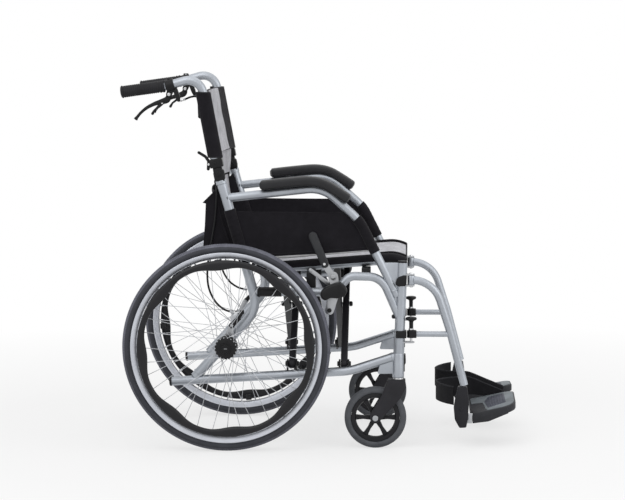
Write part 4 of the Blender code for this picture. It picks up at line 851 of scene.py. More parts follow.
def cloth_of(
    rows: int, columns: int, length: float, width: float, place: Callable[[float, float], Vector],
    thickness: float,
) -> Shape:
    """A cloth laid out as a grid and moved into its shape, with UVs in metres of its cut.

    Args:
        rows: Its cells along the length.
        columns: Its cells across the width.
        length: The cut's length.
        width: The cut's width.
        place: Where a point goes, from its share of the length and of the width.
        thickness: The cloth's thickness, below its face.

    Returns:
        The closed shape.
    """
    shape = bmesh.new()
    bmesh.ops.create_grid(shape, x_segments=rows, y_segments=columns, size=0.5, calc_uvs=True)
    layer = shape.loops.layers.uv.verify()
    for face in shape.faces:
        for loop in face.loops:
            share = loop.vert.co
            loop[layer].uv = ((share.x + 0.5) * length, (share.y + 0.5) * width)
    for vert in shape.verts:
        vert.co = place(vert.co.x + 0.5, vert.co.y + 0.5)
    bmesh.ops.recalc_face_normals(shape, faces=shape.faces[:])
    if thickness:
        bmesh.ops.solidify(shape, geom=shape.verts[:] + shape.edges[:] + shape.faces[:], thickness=thickness)
        bmesh.ops.recalc_face_normals(shape, faces=shape.faces[:])
    return shape


def placed(name: str, data: bpy.types.ID, place: Matrix | None = None) -> bpy.types.Object:
    """Puts an object in the scene, unturned at the origin where no place is given.

    Args:
        name: The object's name.
        data: Its mesh, camera or lamp.
        place: Its place and turn.

    Returns:
        The object.
    """
    made = bpy.data.objects.new(name, data)
    if place is not None:
        made.matrix_world = place
    bpy.context.scene.collection.objects.link(made)
    return made


class Piece:
    """One object of the scene, gathered from shapes that each have a finish."""

    def __init__(self, name: str, body: str, side: Side = Side.LEFT) -> None:
        """Starts an empty piece.

        Args:
            name: The object's name.
            body: The body that it moves with.
            side: The side that its shapes are mirrored to.
        """
        self.name, self.body, self.side = name, body, side
        self.mesh = bmesh.new()
        self.finishes: list[Finish] = []

    def add(
        self, shape: Shape, finish: Finish, sharp: float = 38.0, lining: tuple[Finish, Vector] | None = None
    ) -> "Piece":
        """Adds a shape to the piece.

        Args:
            shape: The shape, which is used up.
            finish: Its finish.
            sharp: The angle in degrees above which an edge stays crisp.
            lining: The finish of the faces that look this way, where a cloth has another on its back.

        Returns:
            The piece.
        """
        for used in (finish, lining[0]) if lining else (finish,):
            if used not in self.finishes:
                self.finishes.append(used)
        for face in shape.faces:
            face.smooth = True
            lined = lining is not None and face.normal.dot(lining[1]) > 0
            face.material_index = self.finishes.index(lining[0] if lined else finish)
        for edge in shape.edges:
            edge.smooth = len(edge.link_faces) == 2 and edge.calc_face_angle(0.0) < radians(sharp)
        passing = bpy.data.meshes.new("passing")
        shape.to_mesh(passing)
        shape.free()
        self.mesh.from_mesh(passing)
        bpy.data.meshes.remove(passing)
        return self

    def add_all(self, shapes: Sequence[Shape], finish: Finish) -> None:
        """Adds shapes of one finish."""
        for shape in shapes:
            self.add(shape, finish)

    def done(self, *replaced: str, slot: str | None = None, bends: bool = False) -> bpy.types.Object:
        """Puts the piece in the scene.

        Args:
            replaced: The CAD nodes that it stands for.
            slot: The record's material slot; not used.
            bends: Whether it bends between two bodies, and so rides on neither.

        Returns:
            The scene's object.
        """
        if self.side is Side.RIGHT:
            bmesh.ops.scale(self.mesh, vec=(1.0, -1.0, 1.0), verts=self.mesh.verts[:])
            bmesh.ops.reverse_faces(self.mesh, faces=self.mesh.faces[:])
        bmesh.ops.translate(self.mesh, vec=(-ORIGIN_X, 0.0, 0.0), verts=self.mesh.verts[:])
        data = bpy.data.meshes.new(self.name)
        self.mesh.to_mesh(data)
        self.mesh.free()
        for finish in self.finishes:
            data.materials.append(finish.material())
        made = placed(self.name, data)
        if not bends:
            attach(made, self.body)
        if replaced:
            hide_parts(*replaced)
        LOG.info("%s: %d faces on %s", self.name, len(data.polygons), self.body)
        return made


@dataclass
class Sided:
    """A sub-assembly that both sides have; home is its own body, where that isn't the side frame."""

    home = ""
    side: Side

    def piece(self, name: str, body: str = "") -> Piece:
        """A new piece of this side, at home or on another of the side's bodies."""
        body = body or self.home
        return Piece(self.side.of(name), self.side.of(body) if body else self.side.frame(), self.side)


# ---- side frame ----


@dataclass
class SideFrame(Sided):
    """The welded side: uprights, tubes, front post, and the plates and blocks on them."""

    upright_r: float = 0.012
    lower_r: float = 0.011
    loop_r: float = 0.0105
    post_r: float = 0.0125
    head_r: float = 0.0145
    post_x: float = POST_X
    post_foot: float = 0.1746
    post_top: Point = (0.4286, 0.4575)
    boss_r: float = 0.017
    rail_y: float = RAIL_Y
    brace_feet: tuple[Point, Point] = (LEFT_BARS, RIGHT_BARS)

    def build(self) -> None:
        """Builds the side's pieces."""
        self.tubes()
        self.fittings()

    def armrest(self, more: float = 0.0) -> Shape:
        """The armrest tube."""
        points = [(-0.001, 0.6155), (0.2348, 0.6415), (0.3235, 0.5605), (0.38, 0.448), (0.416, 0.375)]
        return side_tube(points, (0.085, 0.12, 0.2), self.loop_r + more)

    def tubes(self) -> None:
        """The silver tubes, the post with its castor housing, and their welds."""
        y = FRAME_Y
        piece = self.piece("frame_tubes")
        upright = [(-0.0135, 0.656), (0.052, 0.428), (0.075, 0.345), (-0.081, 0.174)]
        piece.add(side_tube(upright, (0.1, 0.07), self.upright_r), SILVER)
        lower = [(-0.142, 0.163), (0.3, 0.19), (self.post_x, 0.229)]
        piece.add(side_tube(lower, (0.15,), self.lower_r), SILVER)
        upper = [(0.066, UPPER_TUBE_Z), (0.262, UPPER_TUBE_Z), (0.3, 0.4245), (0.378, 0.4225),
                 (0.4205, 0.325)]
        piece.add(side_tube(upper, (0.03, 0.03, 0.05), self.loop_r), SILVER)
        piece.add(self.armrest(), SILVER)
        top_x, top_z = self.post_top
        piece.add(rod((self.post_x, y, self.post_foot + 0.01), (top_x, y, top_z), self.post_r), SILVER)
        head = [(0.0, 0.0), (0.0132, 0.0), (self.head_r, 0.0012), (self.head_r, 0.056),
                (self.post_r + 0.0006, 0.06), (0.0, 0.06)]
        piece.add(spun(head, Matrix.Translation((self.post_x, y, self.post_foot)), 40), SILVER)
        piece.add(self.gusset([(0.376, 0.437), (0.384, 0.4575), (0.428, 0.4575), (0.426, 0.355),
                               (0.408, 0.362)]), SILVER)
        piece.add(self.gusset([(0.368, 0.184), (0.376, 0.213), (0.41, 0.225), (0.41, 0.184)]), SILVER)
        piece.add(rod((0.0, 0.2, AXLE_Z), (0.0, 0.2332, AXLE_Z), self.boss_r, 32, 0.001), SILVER)
        piece.add(rod((-0.0146, y, 0.659), (-0.0118, y, 0.6495), 0.0134, 36, 0.001), SILVER)
        for place, axis, across in self.weld_places():
            piece.add(self.weld(place, axis, across), SILVER)
        piece.done(self.side.of("side_frame"), slot="silver_tube")

    def gusset(self, outline: Sequence[Point]) -> Shape:
        """A flat plate welded between two tubes."""
        return plate(outline, FRAME_Y - 0.0065, FRAME_Y + 0.0065, 0.0012, 0.004)

    def weld_places(self) -> list[tuple[Vector, Vector, float]]:
        """Where a tube is welded to another: the place, the tube's direction and its radius."""
        y = FRAME_Y
        return [
            (Vector((0.078, y, UPPER_TUBE_Z)), Vector((1, 0, 0)), self.loop_r),
            (Vector((-0.072, y, 0.184)), Vector((0.67, 0, 0.73)), self.upright_r),
            (Vector((0.405, y, 0.224)), Vector((0.95, 0, 0.31)), self.lower_r),
            (Vector((0.409, y, 0.39)), Vector((0.35, 0, -0.93)), self.loop_r),
        ]

    def weld(self, place: Vector, along: Vector, radius: float) -> Shape:
        """A weld bead round a tube's end.

        Args:
            place: The tube's end.
            along: The tube's direction.
            radius: The tube's radius.

        Returns:
            The closed shape.
        """
        profile = oval(0.0016, 0.0022, 8)
        ring = [(radius + a, b) for a, b in profile]
        return spun(ring, facing(place, along), 32, loop=True)

    def fittings(self) -> None:
        """The hinge plates, brace ears, rail saddles, hanger lugs, caps and screws."""
        y = FRAME_Y
        piece = self.piece("frame_fittings")
        px, pz = BACK_PIVOT
        hinge = [(px - 0.0085, pz - 0.0175), (px + 0.0158, pz - 0.0175), (px + 0.0156, pz - 0.004),
                 (px + 0.0128, pz + 0.0085), (px + 0.004, pz + 0.0146), (px - 0.006, pz + 0.0138),
                 (px - 0.0125, pz + 0.002), (px - 0.0095, pz - 0.013)]
        piece.add_all(cheeks(hinge, y, 0.008, 0.0115, 0.0008, 0.003), BLACK_PAINT)
        piece.add_all(bolts((px, y, pz), OUTBOARD, 0.0115, 0.006, 0.0026), BLACK_PAINT)
        piece.add(rod((px, y - 0.012, pz), (px, y + 0.012, pz), 0.004), ZINC)
        ear = [(0.221, 0.191), (0.219, 0.203), (0.205, 0.2165), (0.193, 0.2165), (0.184, 0.209),
               (0.184, 0.2), (0.19, 0.192), (0.207, 0.183)]
        for x in self.brace_feet[0 if self.side is Side.LEFT else 1]:
            piece.add_all(cheeks(ear, x, 0.0088, 0.0128, 0.0006, 0.002, Plane.FRONT), BLACK_PAINT)
            piece.add_all(bolts((x, 0.195, 0.205), FORWARD, 0.0128, 0.0065, 0.0042), BLACK_PAINT)
        for x, foot in ((0.205, 0.381), (0.34, 0.414)):
            top = rail_z(x) - 0.0127
            piece.add(
                block((x - 0.011, self.rail_y - 0.01, foot), (x + 0.011, y - 0.003, top), 0.002),
                BLACK_PLASTIC
            )
        self.hanger_lugs(piece)
        for start, end, more in ((0.079, 0.133, 0.0012), (0.074, 0.08, 0.003)):
            sleeve = side_tube([(start, UPPER_TUBE_Z), (end, UPPER_TUBE_Z)], (), self.loop_r + more)
            piece.add(sleeve, BLACK_PLASTIC)
        piece.add(block((0.43, y - 0.005, 0.189), (0.435, y + 0.005, 0.232), 0.0018), BLACK_PLASTIC)
        for x, z in ((0.4115, 0.325), (0.4085, 0.23)):
            piece.add(bolt((x, y, z), REARWARD, 0.0055, 0.009), BLACK_PLASTIC)
        cap = [(0.0, 0.0), (0.012, 0.0), (0.012, 0.003), (0.0105, 0.0048), (0.0, 0.0055)]
        top = Vector((self.post_top[0], y, self.post_top[1]))
        piece.add(spun(cap, facing(top, Vector((0.035, 0, 1))), 32), BLACK_PLASTIC)
        for end, along in (((-0.142, y, 0.163), (-1, 0, -0.06)), ((-0.001, y, 0.6155), (-1, 0, -0.11))):
            plug = [(0.0, -0.004), (0.0118, -0.004), (0.0118, 0.0005), (0.01, 0.002), (0.0, 0.0026)]
            piece.add(spun(plug, facing(end, Vector(along)), 28), BLACK_PLASTIC)
        piece.done(slot="black_plastic")

    def hanger_lugs(self, piece: Piece) -> None:
        """The lugs that the hanger swings on, with their black caps and domed pins."""
        y, x, lug = FRAME_Y, HANGER_X, 0.004
        low, high = 0.4035, 0.4265
        outline = [(self.post_x, y - 0.008), (x, y - 0.008), (x + 0.0055, y - 0.006), (x + 0.008, y),
                   (x + 0.0055, y + 0.006), (x, y + 0.008), (self.post_x, y + 0.008)]
        for start in (high, low - lug):
            piece.add(plate(outline, start, start + lug, 0.0006, 0.0, Plane.FLOOR), ZINC)
        leaf = [(0.4114, 0.4058), (0.415, 0.418), (0.4188, 0.4235), (0.4311, 0.4282), (0.4397, 0.4268),
                (0.4392, 0.4108), (0.437, 0.401), (0.418, 0.4)]
        piece.add(plate(leaf, y - 0.0145, y + 0.0145, 0.0025, 0.003), BLACK_PLASTIC)
        dome = [(0.0, 0.0), (0.0046, 0.0), (0.0042, 0.0016), (0.0025, 0.0029), (0.0, 0.0033)]
        piece.add(spun(dome, Matrix.Translation((x, y, high + lug)), 20), BRIGHT)
        piece.add(spun(dome, facing((x, y, low - lug), -UPWARD), 20), BRIGHT)
        piece.add(rod((x, y, low - lug), (x, y, high + lug), 0.0035), BRIGHT)
        piece.add(plate(outline, 0.26, 0.264, 0.0006, 0.0, Plane.FLOOR), ZINC)
        piece.add(block((self.post_x - 0.006, y - 0.0155, 0.273), (0.4392, y + 0.0155, 0.291), 0.002),
                  BLACK_PLASTIC)


# ---- wheels ----


@dataclass
class RearWheel(Sided):
    """A spoked rear wheel with its tyre, rim, hub and pushing ring."""

    home = "wheel"
    y: float = 0.265
    tyre_r: float = 0.254
    tyre_w: float = 0.035
    rim_r: float = 0.234
    bed_r: float = 0.2262
    inner_r: float = 0.2185
    rim_w: float = 0.0264
    hub_r: float = 0.027
    spokes: int = 36
    ring_r: float = 0.2166
    ring_y: float = 0.288
    ring_band: float = 0.015
    ring_lobe: float = 0.01
    lobes: int = 8
    phase: float = radians(5)
    crossing: float = radians(62)
    spoke_r: float = 0.0008
    nipple_r: float = 0.0019

    def build(self) -> None:
        """Builds the wheel's pieces."""
        self.tyre()
        self.rim()
        self.hub()
        self.handrim()

    def centre(self) -> Vector:
        """The middle of the wheel."""
        return Vector((0.0, self.y, AXLE_Z))

    def axle(self) -> Matrix:
        """The wheel's place, with its third axis outboard."""
        return facing(self.centre(), OUTBOARD)

    def tyre(self) -> None:
        """The tyre: a textured tread over smooth walls."""
        half, top = self.tyre_w / 2, self.tyre_r
        tread = [(top - 0.0062, half - 0.0042), (top - 0.0035, half - 0.0075), (top - 0.0012, 0.0062),
                 (top, 0.0028)]
        wall = [(self.bed_r, 0.01), (self.rim_r, 0.0112), (self.rim_r + 0.0015, 0.015),
                (top - 0.015, half - 0.0008), (top - 0.0115, half), (top - 0.0085, half - 0.0016),
                (top - 0.0066, half - 0.0036)]
        piece = self.piece("tyre_rubber")
        crown = mirrored(tread) + [(top - 0.009, -half + 0.005), (top - 0.009, half - 0.005)]
        piece.add(ring_uv(spun(crown, self.axle(), 144, loop=True), self.centre()), TYRE_TREAD, 60)
        side = mirrored(wall)
        piece.add(ring_uv(spun(side, self.axle(), 144, loop=True), self.centre()), TYRE_WALL, 60)
        piece.done(self.side.of("rear_tyre"), slot="grey_tyre")

    def rim(self) -> None:
        """The alloy rim, with an eyelet at each spoke."""
        half = self.rim_w / 2
        upper = [(self.inner_r, 0.006), (self.inner_r + 0.0012, 0.0095), (self.rim_r - 0.004, half - 0.0004),
                 (self.rim_r - 0.001, half), (self.rim_r, half - 0.0006),
                 (self.rim_r - 0.0006, half - 0.0016), (self.bed_r, half - 0.0018)]
        piece = self.piece("rim_ring")
        piece.add(spun(mirrored(upper), self.axle(), 144, loop=True), ALLOY, 50)
        piece.done(self.side.of("rear_rim"), slot="rim_alloy")

    def hub(self) -> None:
        """The black hub, its bolts, and the spokes with their nipples."""
        piece = self.piece("hub_and_spokes")
        body = [(0.0066, -0.0235), (0.02, -0.0235), (self.hub_r, -0.0215), (self.hub_r, -0.0095),
                (0.0165, -0.0065), (0.015, 0.0), (0.0165, 0.0065), (self.hub_r, 0.009), (self.hub_r, 0.0155),
                (0.0235, 0.017), (0.014, 0.0178), (0.013, 0.02), (0.0066, 0.02)]
        piece.add(spun(body, self.axle(), 48, loop=True), BLACK_PLASTIC)
        for k in range(6):
            angle = 2 * pi * k / 6 + 0.3
            at = self.centre() + Vector((0.019 * cos(angle), 0.0165, 0.019 * sin(angle)))
            piece.add(bolt(at, OUTBOARD, 0.0024, 0.0018), BLACK_PAINT)
        for k in range(self.spokes // 2):
            angle = 4 * pi * k / self.spokes
            at = self.centre() + Vector((0.0258 * cos(angle), 0.0155, 0.0258 * sin(angle)))
            piece.add(rod(at, at + Vector((0.0, 0.0012, 0.0)), 0.0014, 8, 0.0004), SPOKE_STEEL)
        for index in range(self.spokes):
            self.spoke(piece, index)
        piece.done(self.side.of("rear_hub"), slot="hub_steel")

    def spoke(self, piece: Piece, index: int) -> None:
        """One spoke from a hub flange to the rim, with its nipple."""
        rim_angle = 2 * pi * index / self.spokes
        flange = 1 if index % 2 else -1
        lean = 1 if (index // 2) % 2 else -1
        hub_angle = rim_angle + lean * self.crossing
        reach, start_r = self.inner_r, self.hub_r - 0.004
        start = Vector((start_r * cos(hub_angle), flange * 0.0125 + lean * 0.0014, start_r * sin(hub_angle)))
        end = Vector((reach * cos(rim_angle), flange * 0.002 + lean * 0.001, reach * sin(rim_angle)))
        start, end = start + self.centre(), end + self.centre()
        piece.add(rod(start, end, self.spoke_r, 6, 0.0), SPOKE_STEEL)
        nipple = (start - end).normalized() * 0.011
        piece.add(rod(end + nipple, end, self.nipple_r, 8, 0.0), SPOKE_STEEL)

    def lobe(self, angle: float) -> float:
        """0 between the ring's lobes and 1 at the middle of one."""
        return max(0.0, 0.5 + 0.5 * cos(self.lobes * (angle - self.phase))) ** 1.5

    def handrim(self) -> None:
        """The pushing ring: its inner edge swells at each lobe, with a tab to the rim there."""
        piece = self.piece("push_ring")
        middle = self.ring_r - self.ring_band / 2
        section = [(middle + a, b) for a, b in oval(self.ring_band / 2, 0.0068, 16, 0.75)]
        place = facing((0.0, self.ring_y, AXLE_Z), OUTBOARD)
        ring = spun(section, place, 192, loop=True)
        for vert in ring.verts:
            far = Vector((vert.co.x, vert.co.z - AXLE_Z))
            share = (self.ring_r - far.length) / self.ring_band
            drop = self.ring_lobe * self.lobe(atan2(far.y, far.x)) * share
            inward = far.normalized() * drop
            vert.co -= Vector((inward.x, 0.0, inward.y))
        piece.add(ring, HANDRIM_SKIN, 80)
        for index in range(self.lobes):
            angle = self.phase + 2 * pi * index / self.lobes
            tab = block((self.ring_r - 0.014, self.y + 0.005, -0.0075),
                        (self.inner_r - 0.0012, self.ring_y, 0.0075), 0.0015)
            tab.transform(Matrix.Translation((0.0, 0.0, AXLE_Z)) @ Matrix.Rotation(-angle, 4, "Y"))
            piece.add(tab, HANDRIM_SKIN)
        piece.done(self.side.of("handrim"), slot="black_handrim")


@dataclass
class Castor(Sided):
    """A front castor: its fork, its six-spoked wheel and its grey tyre."""

    home = "castor"
    radius: float = 0.076
    width: float = 0.026
    core_r: float = 0.0597
    ring_r: float = 0.048
    spokes: int = 6
    trail: float = 0.0558
    post_x: float = POST_X
    top: float = 0.17

    def build(self) -> None:
        """Builds the castor's pieces."""
        self.fork()
        self.wheel()

    def centre(self) -> Vector:
        """The middle of the castor's wheel."""
        return Vector((self.post_x - self.trail, FRAME_Y, self.radius))

    def fork(self) -> None:
        """The painted fork: two legs, a crown over the tyre and the stem's bright collar."""
        piece = self.piece("fork")
        x, y, top, axle = self.post_x, FRAME_Y, self.top, self.centre()
        inner = self.width / 2 + 0.0025
        leg = [
            (x - 0.0265, top), (x + 0.0175, top), (x + 0.0185, top - 0.02), (x + 0.006, top - 0.045),
            (axle.x + 0.02, axle.z + 0.003), (axle.x + 0.012, axle.z - 0.0066),
            (axle.x + 0.0045, axle.z - 0.0128), (axle.x - 0.0045, axle.z - 0.0128),
            (axle.x - 0.011, axle.z - 0.008), (axle.x - 0.0135, axle.z), (axle.x - 0.0125, axle.z + 0.01),
            (x - 0.0385, top - 0.034),
        ]
        piece.add_all(cheeks(leg, y, inner, inner + 0.005, 0.0014, 0.002), DARK_PAINT)
        piece.add_all(bolts((axle.x, y, axle.z), OUTBOARD, inner + 0.005, 0.0075, 0.0032), ZINC)
        crown = [(x - 0.0245, top), (x + 0.016, top), (x + 0.016, top - 0.0085), (x + 0.002, top - 0.016),
                 (x - 0.018, top - 0.0165), (x - 0.033, top - 0.027), (x - 0.037, top - 0.03)]
        piece.add(plate(crown, y - inner - 0.004, y + inner + 0.004, 0.0016, 0.001), DARK_PAINT)
        collar = [(0.0, -0.001), (0.0115, -0.001), (0.0122, 0.0002), (0.0122, 0.003), (0.0112, 0.0043),
                  (0.0, 0.0043)]
        piece.add(spun(collar, Matrix.Translation((x, y, top)), 36), BRIGHT)
        piece.add(rod((axle.x, y - inner, axle.z), (axle.x, y + inner, axle.z), 0.004), ZINC)
        piece.done(self.side.of("castor_fork"), slot="dark_castor")

    def wheel(self) -> None:
        """The spoked core and the tyre round it."""
        piece = self.piece("castor_core", "castor_wheel")
        centre, half = self.centre(), self.width / 2
        place = facing(centre, OUTBOARD)
        ring = [(self.ring_r, 0.006), (self.ring_r + 0.002, half - 0.0026),
                (self.core_r - 0.0015, half - 0.0018), (self.core_r, half - 0.003)]
        piece.add(spun(mirrored(ring), place, 72, loop=True), CASTOR_PLASTIC, 50)
        hub = [(0.0045, -half), (0.011, -half), (0.0135, -half + 0.0025)]
        piece.add(spun(mirrored(hub), place, 36, loop=True), CASTOR_PLASTIC)
        for index in range(self.spokes):
            arm = plate(mirrored([(0.01, -0.0062), (0.03, -0.0042), (0.05, -0.0064)]), -0.007, 0.007, 0.0016)
            arm.transform(Matrix.Translation(centre) @ Matrix.Rotation(2 * pi * index / self.spokes, 4, "Y"))
            piece.add(arm, CASTOR_PLASTIC)
        piece.done(self.side.of("castor_rim"), slot="dark_castor")
        tyre = self.piece("castor_rubber", "castor_wheel")
        upper = [(self.core_r + 0.0003, half - 0.0035), (self.core_r + 0.0018, half - 0.001), (0.066, half),
                 (0.07, half - 0.0008), (0.073, half - 0.003), (0.075, half - 0.0065), (self.radius, 0.003)]
        profile = mirrored(upper)
        tyre.add(ring_uv(spun(profile, place, 96, loop=True), centre), CASTOR_RUBBER, 60)
        tyre.done(self.side.of("castor_tyre"), slot="grey_tyre")


# ---- footrests ----


@dataclass
class Footrest(Sided):
    """A swing-away hanger with its catch knob, socket, folding footplate and heel strap."""

    home = "footrest"
    pivot_x: float = HANGER_X
    tube_r: float = 0.00975
    top_z: float = 0.415
    foot: Point = (0.5805, 0.156)
    bar_z: float = 0.282
    plate_rear: float = 0.5965
    plate_front: float = 0.709
    flip: Point = (0.19, 0.078)

    def build(self) -> None:
        """Builds the footrest's pieces."""
        self.hanger()
        self.knob()
        self.socket()
        self.footplate()
        self.strap()

    def hanger(self) -> None:
        """The bent tube with its pivot eye, its catch bar and block."""
        y, x = FRAME_Y, self.pivot_x
        piece = self.piece("hanger_tube")
        path = [(x + 0.006, self.top_z), (0.506, 0.411), (0.545, 0.29), self.foot]
        piece.add(side_tube(path, (0.072, 0.3), self.tube_r), SILVER)
        eye = [(0.004, -0.011), (0.0088, -0.011), (0.0095, -0.01)]
        piece.add(spun(mirrored(eye), Matrix.Translation((x, y, self.top_z)), 32, loop=True), SILVER)
        piece.add(rod((x + 0.007, y, self.bar_z), (0.547, y, self.bar_z), 0.007), SILVER)
        collar = [(0.0035, -0.009), (0.0098, -0.009), (0.0105, -0.0082)]
        place = Matrix.Translation((x, y, self.bar_z))
        piece.add(spun(mirrored(collar), place, 32, loop=True), BLACK_PLASTIC)
        piece.add(block((x, y - 0.01, self.bar_z - 0.009), (x + 0.013, y + 0.01, self.bar_z + 0.009), 0.0015),
                  BLACK_PLASTIC)
        piece.done(self.side.of("hanger"), slot="silver_tube")

    def knob(self) -> None:
        """The black catch knob on its steel pin, with a chrome collar."""
        foot = self.bar_z + 0.0093
        place = Matrix.Translation((self.pivot_x, FRAME_Y, foot))
        piece = self.piece("catch_knob", "knob")
        piece.add(rod((self.pivot_x, FRAME_Y, 0.261), (self.pivot_x, FRAME_Y, foot), 0.003), BRIGHT)
        collar = [(0.0, 0.0), (0.0062, 0.0), (0.0065, 0.0006), (0.0065, 0.0036), (0.0055, 0.0048),
                  (0.0, 0.005)]
        piece.add(spun(collar, place, 28), BRIGHT)
        knob = [(0.0, 0.0046), (0.005, 0.0046), (0.0052, 0.021), (0.0078, 0.0238), (0.012, 0.0252),
                (0.0138, 0.0275), (0.0138, 0.0298), (0.012, 0.032), (0.008, 0.033), (0.0, 0.0332)]
        piece.add(spun(knob, place, 40), BLACK_PLASTIC, 60)
        piece.done(self.side.of("hanger_knob"), slot="black_plastic")

    def socket(self) -> None:
        """The moulded socket at the tube's foot, with its hinge block and pin."""
        y, (hx, hz) = FRAME_Y, self.foot
        piece = self.piece("socket_moulding")
        outline = [(hx - 0.0155, hz - 0.0031), (hx + 0.007, hz - 0.0031), (0.5925, 0.118), (0.5905, 0.08),
                   (0.586, 0.052), (0.569, 0.051), (0.5575, 0.072), (0.555, 0.1), (0.56, 0.132)]
        piece.add(plate(outline, y - 0.012, y + 0.012, 0.0028, 0.003), GREY_PLASTIC)
        fy, fz = self.flip
        piece.add(block((0.574, fy - 0.007, fz - 0.01), (self.plate_rear - 0.0055, y, fz + 0.01), 0.002),
                  GREY_PLASTIC)
        piece.add(block((0.584, fy - 0.0085, 0.0585), (self.plate_rear + 0.0045, fy + 0.011, 0.08), 0.0012),
                  ZINC)
        piece.add(rod((0.585, fy, fz), (self.plate_rear + 0.028, fy, fz), 0.004), ZINC)
        piece.add(bolt((0.5735, y + 0.012, 0.098), OUTBOARD, 0.0045, 0.0022), GREY_PLASTIC)
        piece.done(self.side.of("foot_socket"), slot="grey_plastic")

    def tilted(self, shape: Shape) -> Shape:
        """The flat shape set on the deck's top, which rises to its front and to its inner edge."""
        rise, lean = 0.2132, 0.0775
        height = 0.088 - rise * self.plate_rear + lean * 0.1225
        shape.transform(Matrix(((1, 0, 0, 0), (0, 1, 0, 0), (rise, -lean, 1, height), (0, 0, 0, 1))))
        return shape

    def footplate(self) -> None:
        """The moulded footplate: a dark deck with a keel, a pale painted highlight on its top border and
        nose, and a ribbed tread.
        """
        back, front, outer = self.plate_rear, self.plate_front, 0.2
        fy, _ = self.flip
        piece = self.piece("footplate_moulding", "plate")
        corners = [(back + 0.0055, outer, 0.0), (front, outer, 0.0), (front, 0.045, 0.0), (back, 0.045, 0.0)]
        plan = [(p.x, p.y) for p in path_of(corners, (0.036, 0.022),
                                            12)] + [(back, 0.179), (back + 0.0055, 0.179)]
        piece.add(self.tilted(plate(plan, -0.018, 0.0, 0.004, plane=Plane.FLOOR)), PLATE_GREY)
        keel = [(back + 0.0055, 0.058), (back + 0.0055, 0.0795), (front - 0.022, 0.0985),
                (front - 0.0182, 0.084), (back + 0.045, 0.063)]
        piece.add(plate(keel, fy - 0.03, outer - 0.0004, 0.002, 0.002), PLATE_GREY)
        # The border and the nose are pale as a painted highlight of the lit top and front.
        border = [(back + 0.004, 0.049), (back + 0.004, 0.105), (0.629, 0.113), (0.6345, 0.182),
                  (0.639, 0.1966), (0.674, 0.1966), (0.6925, 0.189), (0.7015, 0.174), (0.7052, 0.16),
                  (0.7052, 0.069), (0.699, 0.056), (0.685, 0.049)]
        piece.add(self.tilted(plate(border, -0.0012, 0.001, 0.0005, plane=Plane.FLOOR)), PLATE_PAINTED_HIGHLIGHT)
        nose = [(front - 0.0016, 0.07), (front - 0.0016, 0.161), (front - 0.012, 0.18), (front - 0.012, 0.06)]
        piece.add(self.tilted(plate(nose, -0.0165, -0.001, 0.001, plane=Plane.FLOOR)), PLATE_PAINTED_HIGHLIGHT)
        tread = [(0.64, 0.178), (0.633, 0.112), (0.643, 0.072), (0.683, 0.062), (0.685, 0.158)]
        piece.add(self.tilted(plate(tread, 0.0, 0.0016, 0.0004, 0.003, Plane.FLOOR)), PLATE_BLUE)
        for k in range(6):
            x = 0.6455 + 0.0065 * k
            rib = block((x, 0.078 - 0.0015 * k, 0.001), (x + 0.003, 0.166 - 0.002 * k, 0.0023), 0.0005)
            piece.add(self.tilted(rib), PLATE_BLUE)
        piece.done(self.side.of("footplate"), slot="grey_plastic")

    def strap(self) -> None:
        """The webbing heel strap, from the socket round behind the heel and forward along the plate."""
        piece = self.piece("heel_strap")
        route = curve_of(
            [(0.5549, 0.206, 0.1275), (0.536, 0.18, 0.1275), (0.52, 0.145, 0.1275), (0.513, 0.108, 0.1275),
             (0.523, 0.078, 0.1275), (0.5525, 0.053, 0.1275), (0.5965, 0.0432, 0.1275),
             (0.6425, 0.043, 0.1165), (0.685, 0.043, 0.106)], 72)
        run = [max(0.0, (p.x - self.plate_rear) / 0.0885) for p in route]
        sizes = [(1.0, 1.0 - 0.64 * share) for share in run]
        piece.add(swept(route, oval(0.001, 0.0225, 16, 0.35), UPWARD, sizes), WEBBING)
        top = [p + UPWARD * (0.0222 * size[1]) for p, size in zip(route, sizes)]
        piece.add(swept(top, oval(0.0016, 0.0019, 8), UPWARD), DARK_BAND)
        made = piece.done(self.side.of("heel_loop"), slot="black_cloth", bends=True)
        self.side.of("footrest")
        self.side.of("plate")
        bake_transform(made)
        self.side.of("foot_socket")


# ---- hub brakes ----


